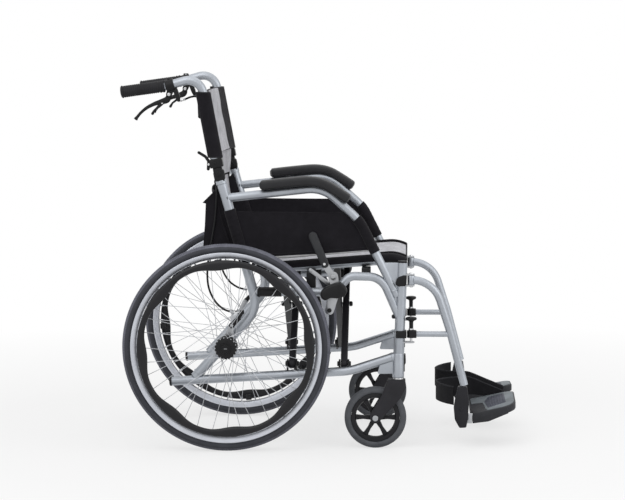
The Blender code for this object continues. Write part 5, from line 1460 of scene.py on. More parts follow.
@dataclass
class HubBrake(Sided):
    """The drum brake inside a rear wheel: its back plate, axle and nuts, and its pull arm."""

    plate_r: float = 0.0265
    plate_y: float = 0.2335
    pivot: Point = (0.012, 0.305)
    arm_y: tuple[float, float] = (0.2388, 0.2428)

    def build(self) -> None:
        """Builds the brake's pieces."""
        self.drum()
        self.pull_arm()

    def drum(self) -> None:
        """The back plate with its lug, the axle and the nut at each of its ends."""
        y, (px, pz) = self.plate_y, self.pivot
        piece = self.piece("brake_drum")
        disc = [(0.0, 0.0), (0.0252, 0.0), (self.plate_r, 0.001), (self.plate_r, 0.0036), (0.0248, 0.0046),
                (0.02, 0.0046), (0.019, 0.005), (0.0, 0.005)]
        piece.add(spun(disc, facing((0.0, y, AXLE_Z), OUTBOARD), 56), ZINC)
        piece.add(plate(strip([(0.0, 0.264), (px, pz)], (0.012, 0.007)), y, y + 0.004, 0.0008), ZINC)
        piece.add(rod((0.0, 0.196, AXLE_Z), (0.0, 0.2895, AXLE_Z), 0.0045, 28, 0.0008), BLACK_PAINT)
        piece.add(block((-0.0038, 0.2885, AXLE_Z - 0.0006), (0.0038, 0.2899, AXLE_Z + 0.0006), 0.0), ZINC)
        for start, end in ((0.2853, 0.289), (0.1938, 0.1995)):
            piece.add(rod((0.0, start, AXLE_Z), (0.0, end, AXLE_Z), 0.009, 6, 0.0006), BLACK_PAINT)
            washer = [(0.0062, -0.0006), (0.0108, -0.0006), (0.011, 0.0), (0.0108, 0.0006), (0.0062, 0.0006)]
            at = start if start > 0.25 else end
            piece.add(spun(washer, facing((0.0, at, AXLE_Z), OUTBOARD), 32, loop=True), BLACK_PAINT)
        piece.add(bolt((px, self.arm_y[1], pz), OUTBOARD, 0.0042, 0.0024), ZINC)
        piece.done(self.side.of("brake_plate"), slot="brake_metal")

    def pull_arm(self) -> None:
        """The arm that the cable pulls, with the clamp that holds its wire."""
        low, high = self.arm_y
        piece = self.piece("pull_arm", "arm")
        spine = [self.pivot, (0.026, 0.32), (0.0375, 0.3375)]
        piece.add(plate(strip(spine, (0.007, 0.0055, 0.0045)), low, high, 0.0008), BLACK_PAINT)
        piece.add(block((0.0325, low - 0.004, 0.3325), (0.0425, low + 0.0005, 0.3425), 0.0012), BLACK_PAINT)
        piece.add(bolt((0.0375, high, 0.3375), OUTBOARD, 0.0035, 0.0022), BLACK_PAINT)
        piece.done(self.side.of("brake_arm"), slot="brake_metal")


# ---- folding back ----


@dataclass
class BackPost(Sided):
    """A folding back post with its hinge, its latch, its push handle and the brake lever on it."""

    home = "back"
    pivot: Point = BACK_PIVOT
    lean: float = radians(100.5)
    tube_r: float = 0.011
    handle: tuple[Point, ...] = ((-0.0639, 0.912), (-0.141, 0.89), (-0.256, 0.8742))
    latch_pivot: Point = (-0.0435, 0.698)
    grip_r: float = 0.0152
    lever_pivot: Point = (-0.1394, 0.8688)
    lock_pivot: Point = (-0.156, 0.847)

    def build(self) -> None:
        """Builds the post's pieces."""
        self.post()
        self.latch()
        self.grip()
        self.bracket()
        self.lever()
        self.lock()

    def at(self, along: float, across: float = 0.0) -> Point:
        """The place so far up the post from its pivot and so far in front of its axis."""
        c, s = cos(self.lean), sin(self.lean)
        return self.pivot[0] + c * along + s * across, self.pivot[1] + s * along - c * across

    def post(self) -> None:
        """The post and its handle in one bent tube, on the black hinge body."""
        y, (lx, lz) = FRAME_Y, self.latch_pivot
        piece = self.piece("back_tube")
        piece.add(side_tube([self.at(0.022), *self.handle], (0.036, 0.08), self.tube_r), SILVER)
        body = [self.at(0.016, -0.0162), self.at(0.016, 0.0158), self.at(0.034, 0.0158),
                self.at(0.038, 0.0125), self.at(0.038, -0.0125), self.at(0.034, -0.0162)]
        piece.add(plate(body, y - 0.013, y + 0.013, 0.0022, 0.002), BLACK_PLASTIC)
        piece.add(plate(strip([self.pivot, self.at(0.02)], (0.0115, 0.011)), y - 0.0072, y + 0.0072, 0.001),
                  BLACK_PLASTIC)
        foot, head = self.at(0.0375), self.at(0.0435)
        piece.add(rod((foot[0], y, foot[1]), (head[0], y, head[1]), 0.0133, 32, 0.0012), SILVER)
        knob = self.at(0.021, -0.0155)
        piece.add(bolt((knob[0], y, knob[1]), REARWARD, 0.0034, 0.004), BLACK_PLASTIC)
        lug = strip([(-0.0295, 0.701), (lx, lz)], (0.006, 0.0045))
        piece.add_all(cheeks(lug, y, 0.0045, 0.007), BLACK_PLASTIC)
        piece.add_all(bolts((lx, y, lz), OUTBOARD, 0.007, 0.003, 0.0014), BRIGHT)
        screw = self.at(0.027, -0.004)
        piece.add_all(bolts((screw[0], y, screw[1]), OUTBOARD, 0.013, 0.003, 0.0012), BLACK_PAINT)
        piece.done(self.side.of("back_post"), slot="silver_tube")

    def latch(self) -> None:
        """The latch lever behind the hinge, with its finger knob."""
        y = FRAME_Y
        piece = self.piece("hinge_latch", "latch")
        spine = [(-0.068, 0.7268), (-0.052, 0.717), (-0.044, 0.706), self.latch_pivot, (-0.045, 0.6865)]
        piece.add(plate(strip(spine, (0.0032, 0.0034, 0.0038, 0.0044, 0.0036)), y - 0.004, y + 0.004, 0.0012),
                  BLACK_PLASTIC)
        piece.add(rod((-0.0682, y - 0.004, 0.7268), (-0.0682, y + 0.004, 0.7268), 0.0026, 20, 0.0008),
                  BLACK_PLASTIC)
        piece.done(self.side.of("back_latch"), slot="black_plastic")

    def grip(self) -> None:
        """The rubber grip: rings at both ends, a ribbed barrel and a domed rear end."""
        y = FRAME_Y
        rear, front = Vector((-0.258, y, 0.8739)), Vector((-0.15, y, 0.8887))
        length = (front - rear).length
        r = self.grip_r
        profile = [(0.0, 0.0), (0.008, 0.0003), (0.0125, 0.0014), (r, 0.0036), (r, 0.0062),
                   (r - 0.0016, 0.0074)]
        count = 17
        pitch = (length - 0.023) / count
        for k in range(count):
            start = 0.0085 + k * pitch
            profile += [(r - 0.0016, start), (r - 0.0006, start + 0.28 * pitch),
                        (r - 0.0006, start + 0.62 * pitch), (r - 0.0016, start + 0.9 * pitch)]
        profile += [(r - 0.0016, length - 0.013), (r, length - 0.0115), (r, length - 0.009),
                    (r - 0.0012, length - 0.008), (r - 0.0012, length - 0.006), (r, length - 0.005),
                    (r, length - 0.0018), (r - 0.001, length), (0.0112, length), (0.0, length - 0.0004)]
        piece = self.piece("hand_grip")
        piece.add(spun(profile, facing(rear, (front - rear).normalized()), 48), GRIP_RUBBER, 70)
        piece.done(self.side.of("grip"), slot="grip_rubber")

    def on_handle(self, x: float) -> Vector:
        """The handle's axis at this x, between its two bends."""
        return Vector((x, FRAME_Y, 0.8894 + 0.2853 * (x + 0.141)))

    def bracket(self) -> None:
        """The lever's clamp, cheeks and web, with the cable's stop and its bright adjuster."""
        y, (lx, lz) = FRAME_Y, self.lever_pivot
        piece = self.piece("lever_mount")
        rear, front = self.on_handle(-0.1475), self.on_handle(-0.127)
        piece.add(rod(rear, front, 0.0154, 40, 0.0016), BLACK_PLASTIC)
        piece.add(block((-0.144, y - 0.0045, 0.9015), (-0.131, y + 0.0045, 0.9085), 0.0018), BLACK_PLASTIC)
        piece.add(bolt((-0.1375, y - 0.0045, 0.905), -OUTBOARD, 0.0026, 0.0016), ZINC)
        cheek = strip([(-0.133, 0.886), (lx, lz)], (0.008, 0.007))
        piece.add_all(cheeks(cheek, y, 0.0045, 0.0075, 0.001), BLACK_PLASTIC)
        piece.add_all(bolts((lx, y, lz), OUTBOARD, 0.0075, 0.0042, 0.0022), BRIGHT)
        web = [(-0.129, 0.89), (-0.12, 0.884), (-0.113, 0.864), (-0.111, 0.852), (-0.118, 0.85),
               (-0.124, 0.862), (-0.129, 0.876)]
        piece.add(plate(web, y - 0.0075, y + 0.0075, 0.0018, 0.002), BLACK_PLASTIC)
        piece.add(rod((-0.116, y, 0.854), (-0.109, y, 0.8549), 0.0046, 8, 0.0006), BRIGHT)
        piece.add(rod((-0.1095, y, 0.8548), (-0.1045, y, 0.8555), 0.0036, 20, 0.0005), BRIGHT)
        piece.done(self.side.of("lever_bracket"), slot="black_plastic")

    def lever(self) -> None:
        """The attendant's brake lever, a flat blade that swells at its pivot and at its tip."""
        y, (kx, kz) = FRAME_Y, self.lock_pivot
        piece = self.piece("attendant_lever", "lever")
        spine = [(-0.1394, 0.8688), (-0.144, 0.856), (-0.16, 0.85), (-0.175, 0.8455), (-0.193, 0.8365),
                 (-0.208, 0.8245), (-0.218, 0.813), (-0.2225, 0.807)]
        halves = (0.0052, 0.008, 0.0066, 0.005, 0.0041, 0.0036, 0.0038, 0.0056)
        path = curve_of([(x, y, z) for x, z in spine], 44)
        wide = curve_of([(half, 0.0, 0.0) for half in halves], 44)
        sizes = [(w.x / 0.004, 1.0) for w in wide]
        sizes[0], sizes[-1] = (0.7, 0.7), (0.6, 0.7)
        piece.add(swept(path, oval(0.004, 0.0038, 18, 0.7), OUTBOARD, sizes), BLACK_PLASTIC, 50)
        piece.add(rod((kx, y - 0.0036, kz), (kx, y + 0.0084, kz), 0.002, 16), BRIGHT)
        piece.done(self.side.of("brake_lever"), slot="black_plastic")

    def lock(self) -> None:
        """The small pawl that holds the lever squeezed."""
        piece = self.piece("lever_lock", "lock")
        spine = [self.lock_pivot, (-0.164, 0.8385), (-0.174, 0.831), (-0.1795, 0.822)]
        piece.add(plate(strip(spine, (0.0044, 0.003, 0.0025, 0.0036)), 0.2193, 0.2223, 0.0007), BLACK_PAINT)
        piece.done(self.side.of("brake_lock"), slot="black_plastic")


@dataclass
class BrakeCable(Sided):
    """The cable from the lever's adjuster down along the post to the hub brake's arm."""

    radius: float = 0.0025
    length: float = 0.61
    route: tuple[tuple[float, float, float], ...] = (
        (-0.1028, 0.215, 0.8557), (-0.096, 0.212, 0.8585), (-0.086, 0.2, 0.862),
        (-0.072, 0.1975, 0.861), (-0.059, 0.1985, 0.84), (-0.044, 0.1985, 0.78),
        (-0.033, 0.1985, 0.725), (-0.027, 0.1985, 0.685), (-0.026, 0.1985, 0.64),
        (-0.03, 0.1985, 0.57), (-0.04, 0.1985, 0.505), (-0.049, 0.204, 0.448),
        (-0.047, 0.213, 0.4), (-0.031, 0.225, 0.365), (-0.008, 0.236, 0.345),
        (0.017, 0.2405, 0.337),
    )

    def build(self) -> None:
        """The sheathed cable with its metal end sleeves and the bare wire to the arm."""
        piece = self.piece("cable")
        path = curve_of(self.route, 120)
        piece.add(swept(path, oval(self.radius, self.radius, 12)), CABLE_SHEATH, 60)
        made = piece.done(self.side.of("brake_cable"), slot="cable_sheath", bends=True)
        sign = self.side.value
        self.side.frame()
        self.side.of("back")
        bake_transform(made)
        line = [(point[0] - ORIGIN_X, point[1] * sign, point[2]) for point in path]
        upper = self.piece("cable_ferrule", "back")
        upper.add(rod(path[0], path[3], 0.0031, 16, 0.0004), ZINC)
        lower = self.piece("cable_wire")
        lower.add(rod(path[-4], path[-1], 0.003, 16, 0.0004), ZINC)
        lower.add(rod(path[-1], (0.0345, 0.2395, 0.3372), 0.0009, 8, 0.0), BRIGHT)
        ends = [upper.done(slot="cable_sheath"), lower.done(slot="cable_sheath")]
        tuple(line[0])


# ---- armrests ----


@dataclass
class Armrest(Sided):
    """The armrest pad and the cloth side guard under it."""

    pad_half_w: float = 0.0232
    pad_half_t: float = 0.0128
    pad_y: float = 0.2245
    cloth_t: float = 0.0026

    def build(self) -> None:
        """Builds the armrest's pieces."""
        self.pad()
        self.guard()

    def pad(self) -> None:
        """The moulded pad: a crowned bar that bends down over the tube at its nose."""
        count, reach = 72, 0.007
        path = curve_of(
            [(0.0815, self.pad_y, 0.646), (0.15, self.pad_y, 0.6535), (0.2, self.pad_y, 0.657),
             (0.235, self.pad_y, 0.6505), (0.266, self.pad_y, 0.6335), (0.2988, self.pad_y, 0.6118)], count)
        section = [(a if a > 0 else a * 0.86, b) for a, b in oval(self.pad_half_t, self.pad_half_w, 32, 0.55)]
        ends = [0.0]
        for before, after in zip(path, path[1:]):
            ends.append(ends[-1] + (after - before).length)
        sizes = []
        for place in ends:
            from_end = min(place, ends[-1] - place) / reach
            grow = 1.0 if from_end >= 1 else max(0.12, (1 - (1 - from_end) ** 2) ** 0.5)
            sizes.append((0.45 + 0.55 * grow, 0.55 + 0.45 * grow))
        piece = self.piece("armrest_cushion")
        piece.add(swept(path, section, OUTBOARD, sizes), PAD_SKIN, 60)
        made = piece.done(self.side.of("armrest_pad"), slot="armrest_pu")

    def patch(self, u: float, v: float) -> tuple[float, float]:
        """The guard's (x, z) at its shares of the way forward and up."""
        foot = ((0.036, 0.4705), (0.1285, 0.4712), (0.247, 0.4795), (0.366, 0.489))
        head = ((0.0125, 0.583), (0.105, 0.5815), (0.2, 0.5808), (0.295, 0.5806))
        rear = ((0.036, 0.4705), (0.0268, 0.508), (0.019, 0.547), (0.0125, 0.583))
        nose = ((0.366, 0.489), (0.344, 0.524), (0.324, 0.555), (0.295, 0.5806))
        blend = [at_share(foot, u) * (1 - v), at_share(head, u) * v, at_share(rear, v) * (1 - u),
                 at_share(nose, v) * u]
        corners = (
            Vector((*foot[0], 0)) * ((1 - u) * (1 - v)) + Vector((*foot[-1], 0)) * (u * (1 - v))
            + Vector((*head[0], 0)) * ((1 - u) * v) + Vector((*head[-1], 0)) * (u * v)
        )
        place = sum(blend, Vector((0, 0, 0))) - corners
        return place.x, place.y

    def edge_at(self, u: float, v: float, out: float) -> Vector:
        """A point of the guard's patch, so far outboard of the frame's middle plane."""
        x, z = self.patch(u, v)
        return Vector((x, FRAME_Y + out, z))

    def guard_at(self, u: float, v: float) -> Vector:
        """A point of the guard's cloth, with its soft swell and its pulls from the tubes."""
        x, z = self.patch(u, v)
        inner = 16 * u * (1 - u) * v * (1 - v)
        pull = 0.001 * sin(9 * u + 7 * v) * inner + 0.0006 * sin(23 * u - 11 * v) * inner
        return Vector((x, FRAME_Y + self.cloth_t / 2 + 0.0012 * inner + pull, z))

    def guard(self) -> None:
        """The cloth guard, with its sleeves on the tubes and its pale piping."""
        piece = self.piece("guard_cloth")
        piece.add(cloth_of(72, 36, 0.32, 0.13, self.guard_at, self.cloth_t), BLACK_CLOTH, 60)
        full = [(1.0 + 0.9 * max(0.0, sin(pi * (k - 6) / 12)) if 6 <= k <= 18 else 1.0,
                 ) * 2 for k in range(31)]
        cord = [self.edge_at(k / 30, 0.0, 0.0012) - UPWARD * 0.0006 for k in range(31)]
        piece.add(swept(cord, oval(0.0018, 0.002, 10), sizes=full), PIPING)
        piece.add(line_of(lambda t: self.edge_at(1.0, t, 0.001), 24, 0.0016, 0.0018, 10), BLACK_CLOTH)
        piece.add(line_of(lambda t: self.edge_at(t, 0.075, 0.0029), 30, 0.0004, 0.0004, 6), DARK_BAND)
        made = piece.done(self.side.of("side_panel"), slot="black_cloth")
        trim = self.piece("guard_sleeves")
        bend = [(0.3165, 0.5652), (0.3219, 0.5593), (0.328, 0.5505), (0.3334, 0.5408), (0.348, 0.5117),
                (0.3624, 0.483)]
        trim.add(self.sleeve(bend, 0.0129), BLACK_CLOTH, 60)
        trim.add(self.sleeve([(0.0063, 0.5869), (0.0253, 0.521), (0.0442, 0.455)], 0.0143), BLACK_CLOTH, 60)
        self.side.of("frame_tubes")
        trim.done(slot="black_cloth")

    def sleeve(self, points: Sequence[Point], radius: float) -> Shape:
        """A cloth sleeve round a tube, with shallow puckers."""
        path = curve_of([(x, FRAME_Y, z) for x, z in points], 36)
        sizes = [(1 + 0.015 * sin(2.1 * k) + 0.01 * sin(0.9 * k),) * 2 for k in range(36)]
        return swept(path, oval(radius, radius, 28), OUTBOARD, sizes)


# ---- parking brakes ----


@dataclass
class ParkingBrake(Sided):
    """The parking brake: its bracket on the side frame, its hand lever and the shoe that it swings."""

    pivot: Point = (0.26, 0.425)
    shoe_pivot: Point = (0.251, 0.342)
    low: float = 0.2285

    def build(self) -> None:
        """Builds the brake's pieces."""
        self.bracket()
        self.lever()
        self.shoe()

    def bracket(self) -> None:
        """The plate with its arm, its clamp round the tube and its two screws."""
        low, high = self.low, self.low + 0.003
        piece = self.piece("brake_bracket")
        piece.add(plate(strip([self.pivot, (0.264, 0.39), self.shoe_pivot], (0.012, 0.013, 0.011)), low,
                        high), ZINC)
        piece.add(plate(strip([(0.248, 0.408), (0.205, 0.44)], (0.005, 0.005)), low, high), ZINC)
        piece.add(rod((0.272, 0.2218, 0.39), (0.272, high, 0.39), 0.007, 24, 0.001), BLACK_PLASTIC)
        piece.add(block((0.256, 0.2035, 0.3735), (0.288, low - 0.0003, 0.3965), 0.003, 3), BLACK_PLASTIC)
        for x, z in (self.pivot, self.shoe_pivot):
            piece.add(rod((x, low, z), (x, 0.2365, z), 0.003), ZINC)
        piece.add(bolt((self.shoe_pivot[0], 0.236, self.shoe_pivot[1]), OUTBOARD, 0.0055, 0.003), BLACK_PAINT)
        for x, z in ((0.248, 0.361), (0.2555, 0.35), (0.266, 0.372)):
            piece.add(bolt((x, high, z), OUTBOARD, 0.0044, 0.0028), BLACK_PAINT)
        piece.add(bolt((0.206, high, 0.4395), OUTBOARD, 0.0035, 0.002), ZINC)
        piece.done(self.side.of("parking_bracket"), slot="parking_steel")

    def lever(self) -> None:
        """The hand lever: a steel foot in a grey moulded handle with a rounded top."""
        low, high = 0.2318, 0.2368
        piece = self.piece("hand_lever", "parking")
        foot = [self.pivot, (0.247, 0.443), (0.239, 0.46)]
        piece.add(plate(strip(foot, (0.0085, 0.008, 0.008)), low, high, 0.0008), ZINC)
        piece.add(bolt((self.pivot[0], high, self.pivot[1]), OUTBOARD, 0.0058, 0.003), ZINC)
        grip = strip([(0.24, 0.456), (0.211, 0.524)], (0.0095, 0.0105), 12)
        piece.add(plate(grip, 0.2303, 0.2408, 0.003), LEVER_GREY, 50)
        piece.add(bolt((0.239, 0.2408, 0.456), OUTBOARD, 0.0034, 0.0014, 0.3), BRIGHT)
        piece.done(self.side.of("parking_lever"), slot="grey_plastic")

    def shoe(self) -> None:
        """The shoe's link and the rounded black cover that presses on the tyre."""
        piece = self.piece("brake_shoe", "shoe")
        piece.add(plate(strip([self.shoe_pivot, (0.256, 0.362), (0.26, 0.385)], (0.011,) * 3), 0.2318,
                        0.2356), ZINC)
        bean = [(0.233, 0.375), (0.242, 0.3705), (0.255, 0.376), (0.272, 0.3755), (0.287, 0.38),
                (0.294, 0.39), (0.292, 0.401), (0.28, 0.4125), (0.27, 0.4125), (0.25, 0.406),
                (0.235, 0.396), (0.2295, 0.385)]
        loop = curve_of([(x, z, 0.0) for x, z in bean + bean[:1]], 61)[:-1]
        piece.add(plate([(p.x, p.y) for p in loop], 0.2392, 0.2718, 0.0045), BLACK_PLASTIC, 50)
        inner = [(0.233, 0.376), (0.272, 0.377), (0.29, 0.385), (0.288, 0.4), (0.279, 0.4065),
                 (0.252, 0.399), (0.237, 0.39)]
        piece.add(plate(inner, 0.2345, 0.24, 0.0006, 0.003), BLACK_PLASTIC)
        piece.done(self.side.of("parking_shoe"), slot="black_plastic")


# ---- folding frame ----


@dataclass
class CrossBrace:
    """One half of the cross brace: two bars from their feet to the seat rail that they carry."""

    side: Side
    name: str
    bars: Point
    finish: Finish
    foot: Point = (0.195, 0.205)
    centre_z: float = 0.33
    rail_y: float = -RAIL_Y
    rail_r: float = 0.0115

    def build(self) -> None:
        """Builds the brace's piece."""
        piece = Piece(f"{self.name}_bars", self.name, self.side)
        for x in self.bars:
            top = (self.rail_y, rail_z(x))
            spine = [self.foot, (0.0, self.centre_z), top]
            outline = strip(spine, (0.012, 0.0125, 0.0105), 10)
            piece.add(plate(outline, x - 0.008, x + 0.008, 0.0022, 0.0, Plane.FRONT), self.finish)
            groove = strip([(0.175, 0.2178), (0.02, 0.3172)], (0.006, 0.006))
            piece.add_all(cheeks(groove, x, 0.0074, 0.0084, 0.0, plane=Plane.FRONT), DARK_PAINT)
        self.rail(piece)
        if self.side is Side.LEFT:
            for mine, other in zip(self.bars, RIGHT_BARS):
                piece.add(rod((mine, 0.0, self.centre_z), (other + 0.0095, 0.0, self.centre_z), 0.004), ZINC)
                piece.add(bolt((other + 0.009, 0.0, self.centre_z), FORWARD, 0.0065, 0.008), BLACK_PAINT)
                piece.add(bolt((mine - 0.008, 0.0, self.centre_z), REARWARD, 0.0065, 0.0085), BLACK_PAINT)
        piece.done(self.name, slot="silver_tube")

    def rail(self, piece: Piece) -> None:
        """The seat rail with its rear plug and its black front cap."""
        y = self.rail_y
        piece.add(rod((RAIL_START[0], y, RAIL_START[1]), (0.398, y, rail_z(0.398)), self.rail_r, 36, 0.001),
                  SILVER)
        plug = [(0.0, -0.004), (0.0122, -0.004), (0.0122, 0.0002), (0.01, 0.0018), (0.0, 0.0024)]
        piece.add(spun(plug, facing((0.115, y, RAIL_START[1]), Vector((-1, 0, -0.076))), 28), BLACK_PLASTIC)
        cap = [(0.376, 0.4455), (0.376, 0.4695), (0.405, 0.4695), (0.431, 0.4615), (0.4335, 0.4375),
               (0.428, 0.4365)]
        piece.add(plate(cap, y - 0.0138, y + 0.0138, 0.0025, 0.004), BLACK_PLASTIC)


def rail_z(x: float) -> float:
    """The height of the seat rail's axis at this x."""
    return RAIL_START[1] + RAIL_RISE * (x - RAIL_START[0])


# ---- seat and back cloth ----


@dataclass
class Seat:
    """The seat cloth between the rails: a pale face with dark bands round the rails."""

    rear: float = 0.06
    front: float = 0.4385
    rail_y: float = RAIL_Y
    round_r: float = 0.014
    wrap: float = 1.75
    sag: float = 0.014

    def half_cut(self) -> float:
        """Half of the cloth's width before it is wrapped round the rails."""
        return self.rail_y + self.round_r * self.wrap

    def at(self, u: float, v: float, more: float = 0.0) -> Vector:
        """A point of the cloth at its shares of the way forward and across, raised by some more."""
        x = self.rear + (self.front - self.rear) * u
        run = (2 * v - 1) * self.half_cut()
        side, over = copysign(1.0, run), abs(run) - self.rail_y
        droop = 0.013 * max(0.0, (u - 0.88) / 0.12) ** 2
        base = rail_z(x) + 0.0018 - droop
        if over > 0:
            turn = over / self.round_r
            r = self.round_r + more
            return Vector((x, side * (self.rail_y + r * sin(turn)), base + r * cos(turn)))
        share = run / self.rail_y
        sag = self.sag * (1 - share**2) * (0.82 + 0.18 * sin(pi * u))
        pull = 0.0009 * sin(17 * u + 3 * share) * (1 - share**2)
        pull += 0.0006 * sin(31 * u - 5 * share) * (1 - abs(share))
        return Vector((x, run, base + self.round_r + more - sag + pull))

    def band(self, low: float, high: float, more: float, columns: int) -> Shape:
        """The part of the cloth between two shares of its width."""
        return cloth_of(
            84, columns, self.front - self.rear, (high - low) * 2 * self.half_cut(),
            lambda u, v: self.at(u, low + (high - low) * v, more), 0.0034,
        )

    def build(self) -> None:
        """The cloth, its side bands, its hems and its seams."""
        piece = Piece("seat_cloth", "brace_a")
        edge = 0.115
        piece.add(self.band(edge, 1 - edge, 0.0, 80), PALE_CLOTH, 60, (BLACK_CLOTH, -UPWARD))
        for low, high in ((0.0, edge + 0.006), (1 - edge - 0.006, 1.0)):
            piece.add(self.band(low, high, 0.0008, 24), BLACK_CLOTH, 60)
            seam = low + 0.014 if low > 0.5 else high - 0.014
            piece.add(line_of(lambda t: self.at(t, seam, 0.001), 60, 0.0005, 0.0005, 6), DARK_BAND)
            piece.add(line_of(lambda t: self.at(0.8 + 0.2 * t, seam, 0.003), 30, 0.003, 0.0034), BLACK_CLOTH)
        for u, cloth in ((0.0, BLACK_CLOTH), (1.0, DARK_BAND)):
            rim = line_of(lambda t: self.at(u, 0.03 + 0.94 * t, -0.0012), 80, 0.0023, 0.0028, up=UPWARD)
            piece.add(rim, cloth)
        made = piece.done("seat_sling", slot="grey_cloth", bends=True)
        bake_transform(made)


@dataclass
class BackCloth:
    """The back's cloth: the sling sleeved on the folding posts and the flap below it."""

    post_r: float = 0.0148
    full: float = 1.2
    sling_z: Point = (0.716, 0.8725)
    sag: float = 0.022
    flap_z: Point = (0.65, 0.4625)
    flap_half: float = 0.1952

    def build(self) -> None:
        """Builds both cloths."""
        self.sling()
        self.flap()

    def sling_at(self, u: float, v: float, more: float = 0.0) -> Vector:
        """A point of the sling: up its height, and across from one sleeve's lip to the other's."""
        z = self.sling_z[0] + (self.sling_z[1] - self.sling_z[0]) * u
        axis = BACK_PIVOT[0] - BACK_LEAN * (z - BACK_PIVOT[1])
        turn, r = radians(225.0), self.post_r + more
        sleeve = turn * self.post_r
        half = FRAME_Y + sleeve
        run = (2 * v - 1) * half
        side, over = copysign(1.0, run), abs(run) - FRAME_Y
        if over > 0:
            angle = over / self.post_r
            return Vector((axis + self.full * r * cos(angle), side * (FRAME_Y + r * sin(angle)), z))
        share = run / FRAME_Y
        deep = self.sag * (1 - share**2) + 0.003 * sin(pi * u) * (1 - share**2)
        pull = 0.0008 * sin(14 * u + 4 * share) * (1 - share**4)
        return Vector((axis + self.full * r - deep + pull, run, z))

    def sling_band(self, low: float, high: float, more: float, columns: int, thickness: float) -> Shape:
        """The part of the sling between two shares of its width."""
        return cloth_of(
            36, columns, self.sling_z[1] - self.sling_z[0], (high - low) * 0.55,
            lambda u, v: self.sling_at(u, low + (high - low) * v, more), thickness,
        )

    def sling(self) -> None:
        """The sling, with its pale face, dark sleeves, hems and fastening tabs."""
        piece = Piece("back_cloth", "back_left")
        edge = 0.24
        piece.add(self.sling_band(edge, 1 - edge, 0.0, 84, 0.0034), PALE_CLOTH, 60, (BLACK_CLOTH, REARWARD))
        for low, high in ((0.0, edge + 0.004), (1 - edge - 0.004, 1.0)):
            piece.add(self.sling_band(low, high, 0.0008, 48, 0.0026), BLACK_CLOTH, 60)
        for u in (0.0, 1.0):
            rim = line_of(
                lambda t: self.sling_at(u, 0.004 + 0.992 * t, -0.0009), 120, 0.0022, 0.002, 10, UPWARD
            )
            piece.add(rim, DARK_BAND)
        made = piece.done("back_sling", slot="grey_cloth")
        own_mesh(made)
        self.apron()

    def apron_at(self, u: float, v: float) -> Vector:
        """A point of the apron, from behind the sling's foot down in front of the flap's top."""
        run = 0.19 * (2 * v - 1)
        head = self.sling_at(0.04, 0.5 + run / 0.5462) - Vector((0.0045, 0.0, 0.0))
        foot = self.flap_at(0.0, 0.5 + 0.5 * run / self.flap_half, 0.0042) + UPWARD * 0.004
        return head.lerp(foot, u) + Vector((0.0015 * sin(pi * u), 0.0, 0.0))

    def apron(self) -> bpy.types.Object:
        """The pale apron under the sling, and the fastening tabs behind its sleeves."""
        piece = Piece("back_apron", "back_left")
        piece.add(cloth_of(20, 60, 0.07, 0.38, self.apron_at, 0.0016), PALE_CLOTH, 60,
                  (BLACK_CLOTH, REARWARD))
        tab = [(-0.064, 0.8505), (-0.07, 0.844), (-0.069, 0.812), (-0.061, 0.8075)]
        piece.add_all(cheeks(tab, 0.0, 0.2135, 0.216, 0.0006, 0.001), DARK_BAND)
        made = piece.done(slot="grey_cloth")
        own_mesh(made)
        return made

    def flap_at(self, u: float, v: float, more: float = 0.0, swell: float = 0.0) -> Vector:
        """A point of the flap: down its drop, and across; with a pocket's swell behind it."""
        top, foot = self.flap_z
        z = top + (foot - top) * u
        share = 2 * v - 1
        lean = -0.0135 + (0.656 - z) * 0.288
        hollow = 0.012 * (1 - share**2)
        pull = 0.001 * sin(11 * u + 5 * share) * (1 - share**2)
        bulge = 0.03 * (sin(pi * u) if u < 0.5 else 1 - 0.5 * (u - 0.5))
        x = lean - 0.016 - hollow - pull - swell * bulge - 0.35 * bulge + more
        return Vector((x, self.flap_half * share, z))

    def pocket_at(self, u: float, v: float, more: float) -> Vector:
        """A point of the pocket, at its own shares of the way down and across."""
        return self.flap_at(0.12 + 0.86 * u, 0.02 + 0.96 * v, more, 0.62 * sin(pi * v) ** 0.35)

    def flap(self) -> None:
        """The flap's pale face, its black back with a pocket that swells, and its bindings."""
        piece = Piece("lower_back_cloth", Side.LEFT.frame())
        drop = self.flap_z[0] - self.flap_z[1]
        face = cloth_of(48, 60, drop, 0.39, self.flap_at, 0.003)
        piece.add(face, PALE_CLOTH, 60, (BLACK_CLOTH, REARWARD))
        bag = Piece("back_pocket", Side.LEFT.frame())
        pocket = cloth_of(44, 64, drop * 0.86, 0.4, lambda u, v: self.pocket_at(u, v, -0.004), 0.0018)
        bag.add(pocket, BLACK_CLOTH, 60)
        bag.add(line_of(lambda t: self.pocket_at(0.0, t, -0.005), 60, 0.0022, 0.005, up=UPWARD), DARK_BAND)
        for u in (0.0, 1.0):
            hem = line_of(lambda t: self.flap_at(u, t, -0.0012), 60, 0.0022, 0.004, up=UPWARD)
            piece.add(hem, BLACK_CLOTH)
        for v in (0.0, 1.0):
            piece.add(line_of(lambda t: self.flap_at(t, v, -0.0012), 40, 0.0024, 0.0024), BLACK_CLOTH)
        gusset = [(-0.0142, 0.6494), (-0.0613, 0.6026), (-0.0535, 0.6002), (-0.056, 0.5485), (-0.061, 0.487),
                  (-0.057, 0.464), (0.038, 0.464), (0.015, 0.56)]
        bag.add_all(cheeks(gusset, 0.0, 0.1938, 0.1953, 0.0004), BLACK_CLOTH)
        made, pouch = piece.done("back_flap", slot="black_cloth"), bag.done(slot="black_cloth")
        for cloth in (made, pouch):
            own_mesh(cloth)


# ---- the scene ----


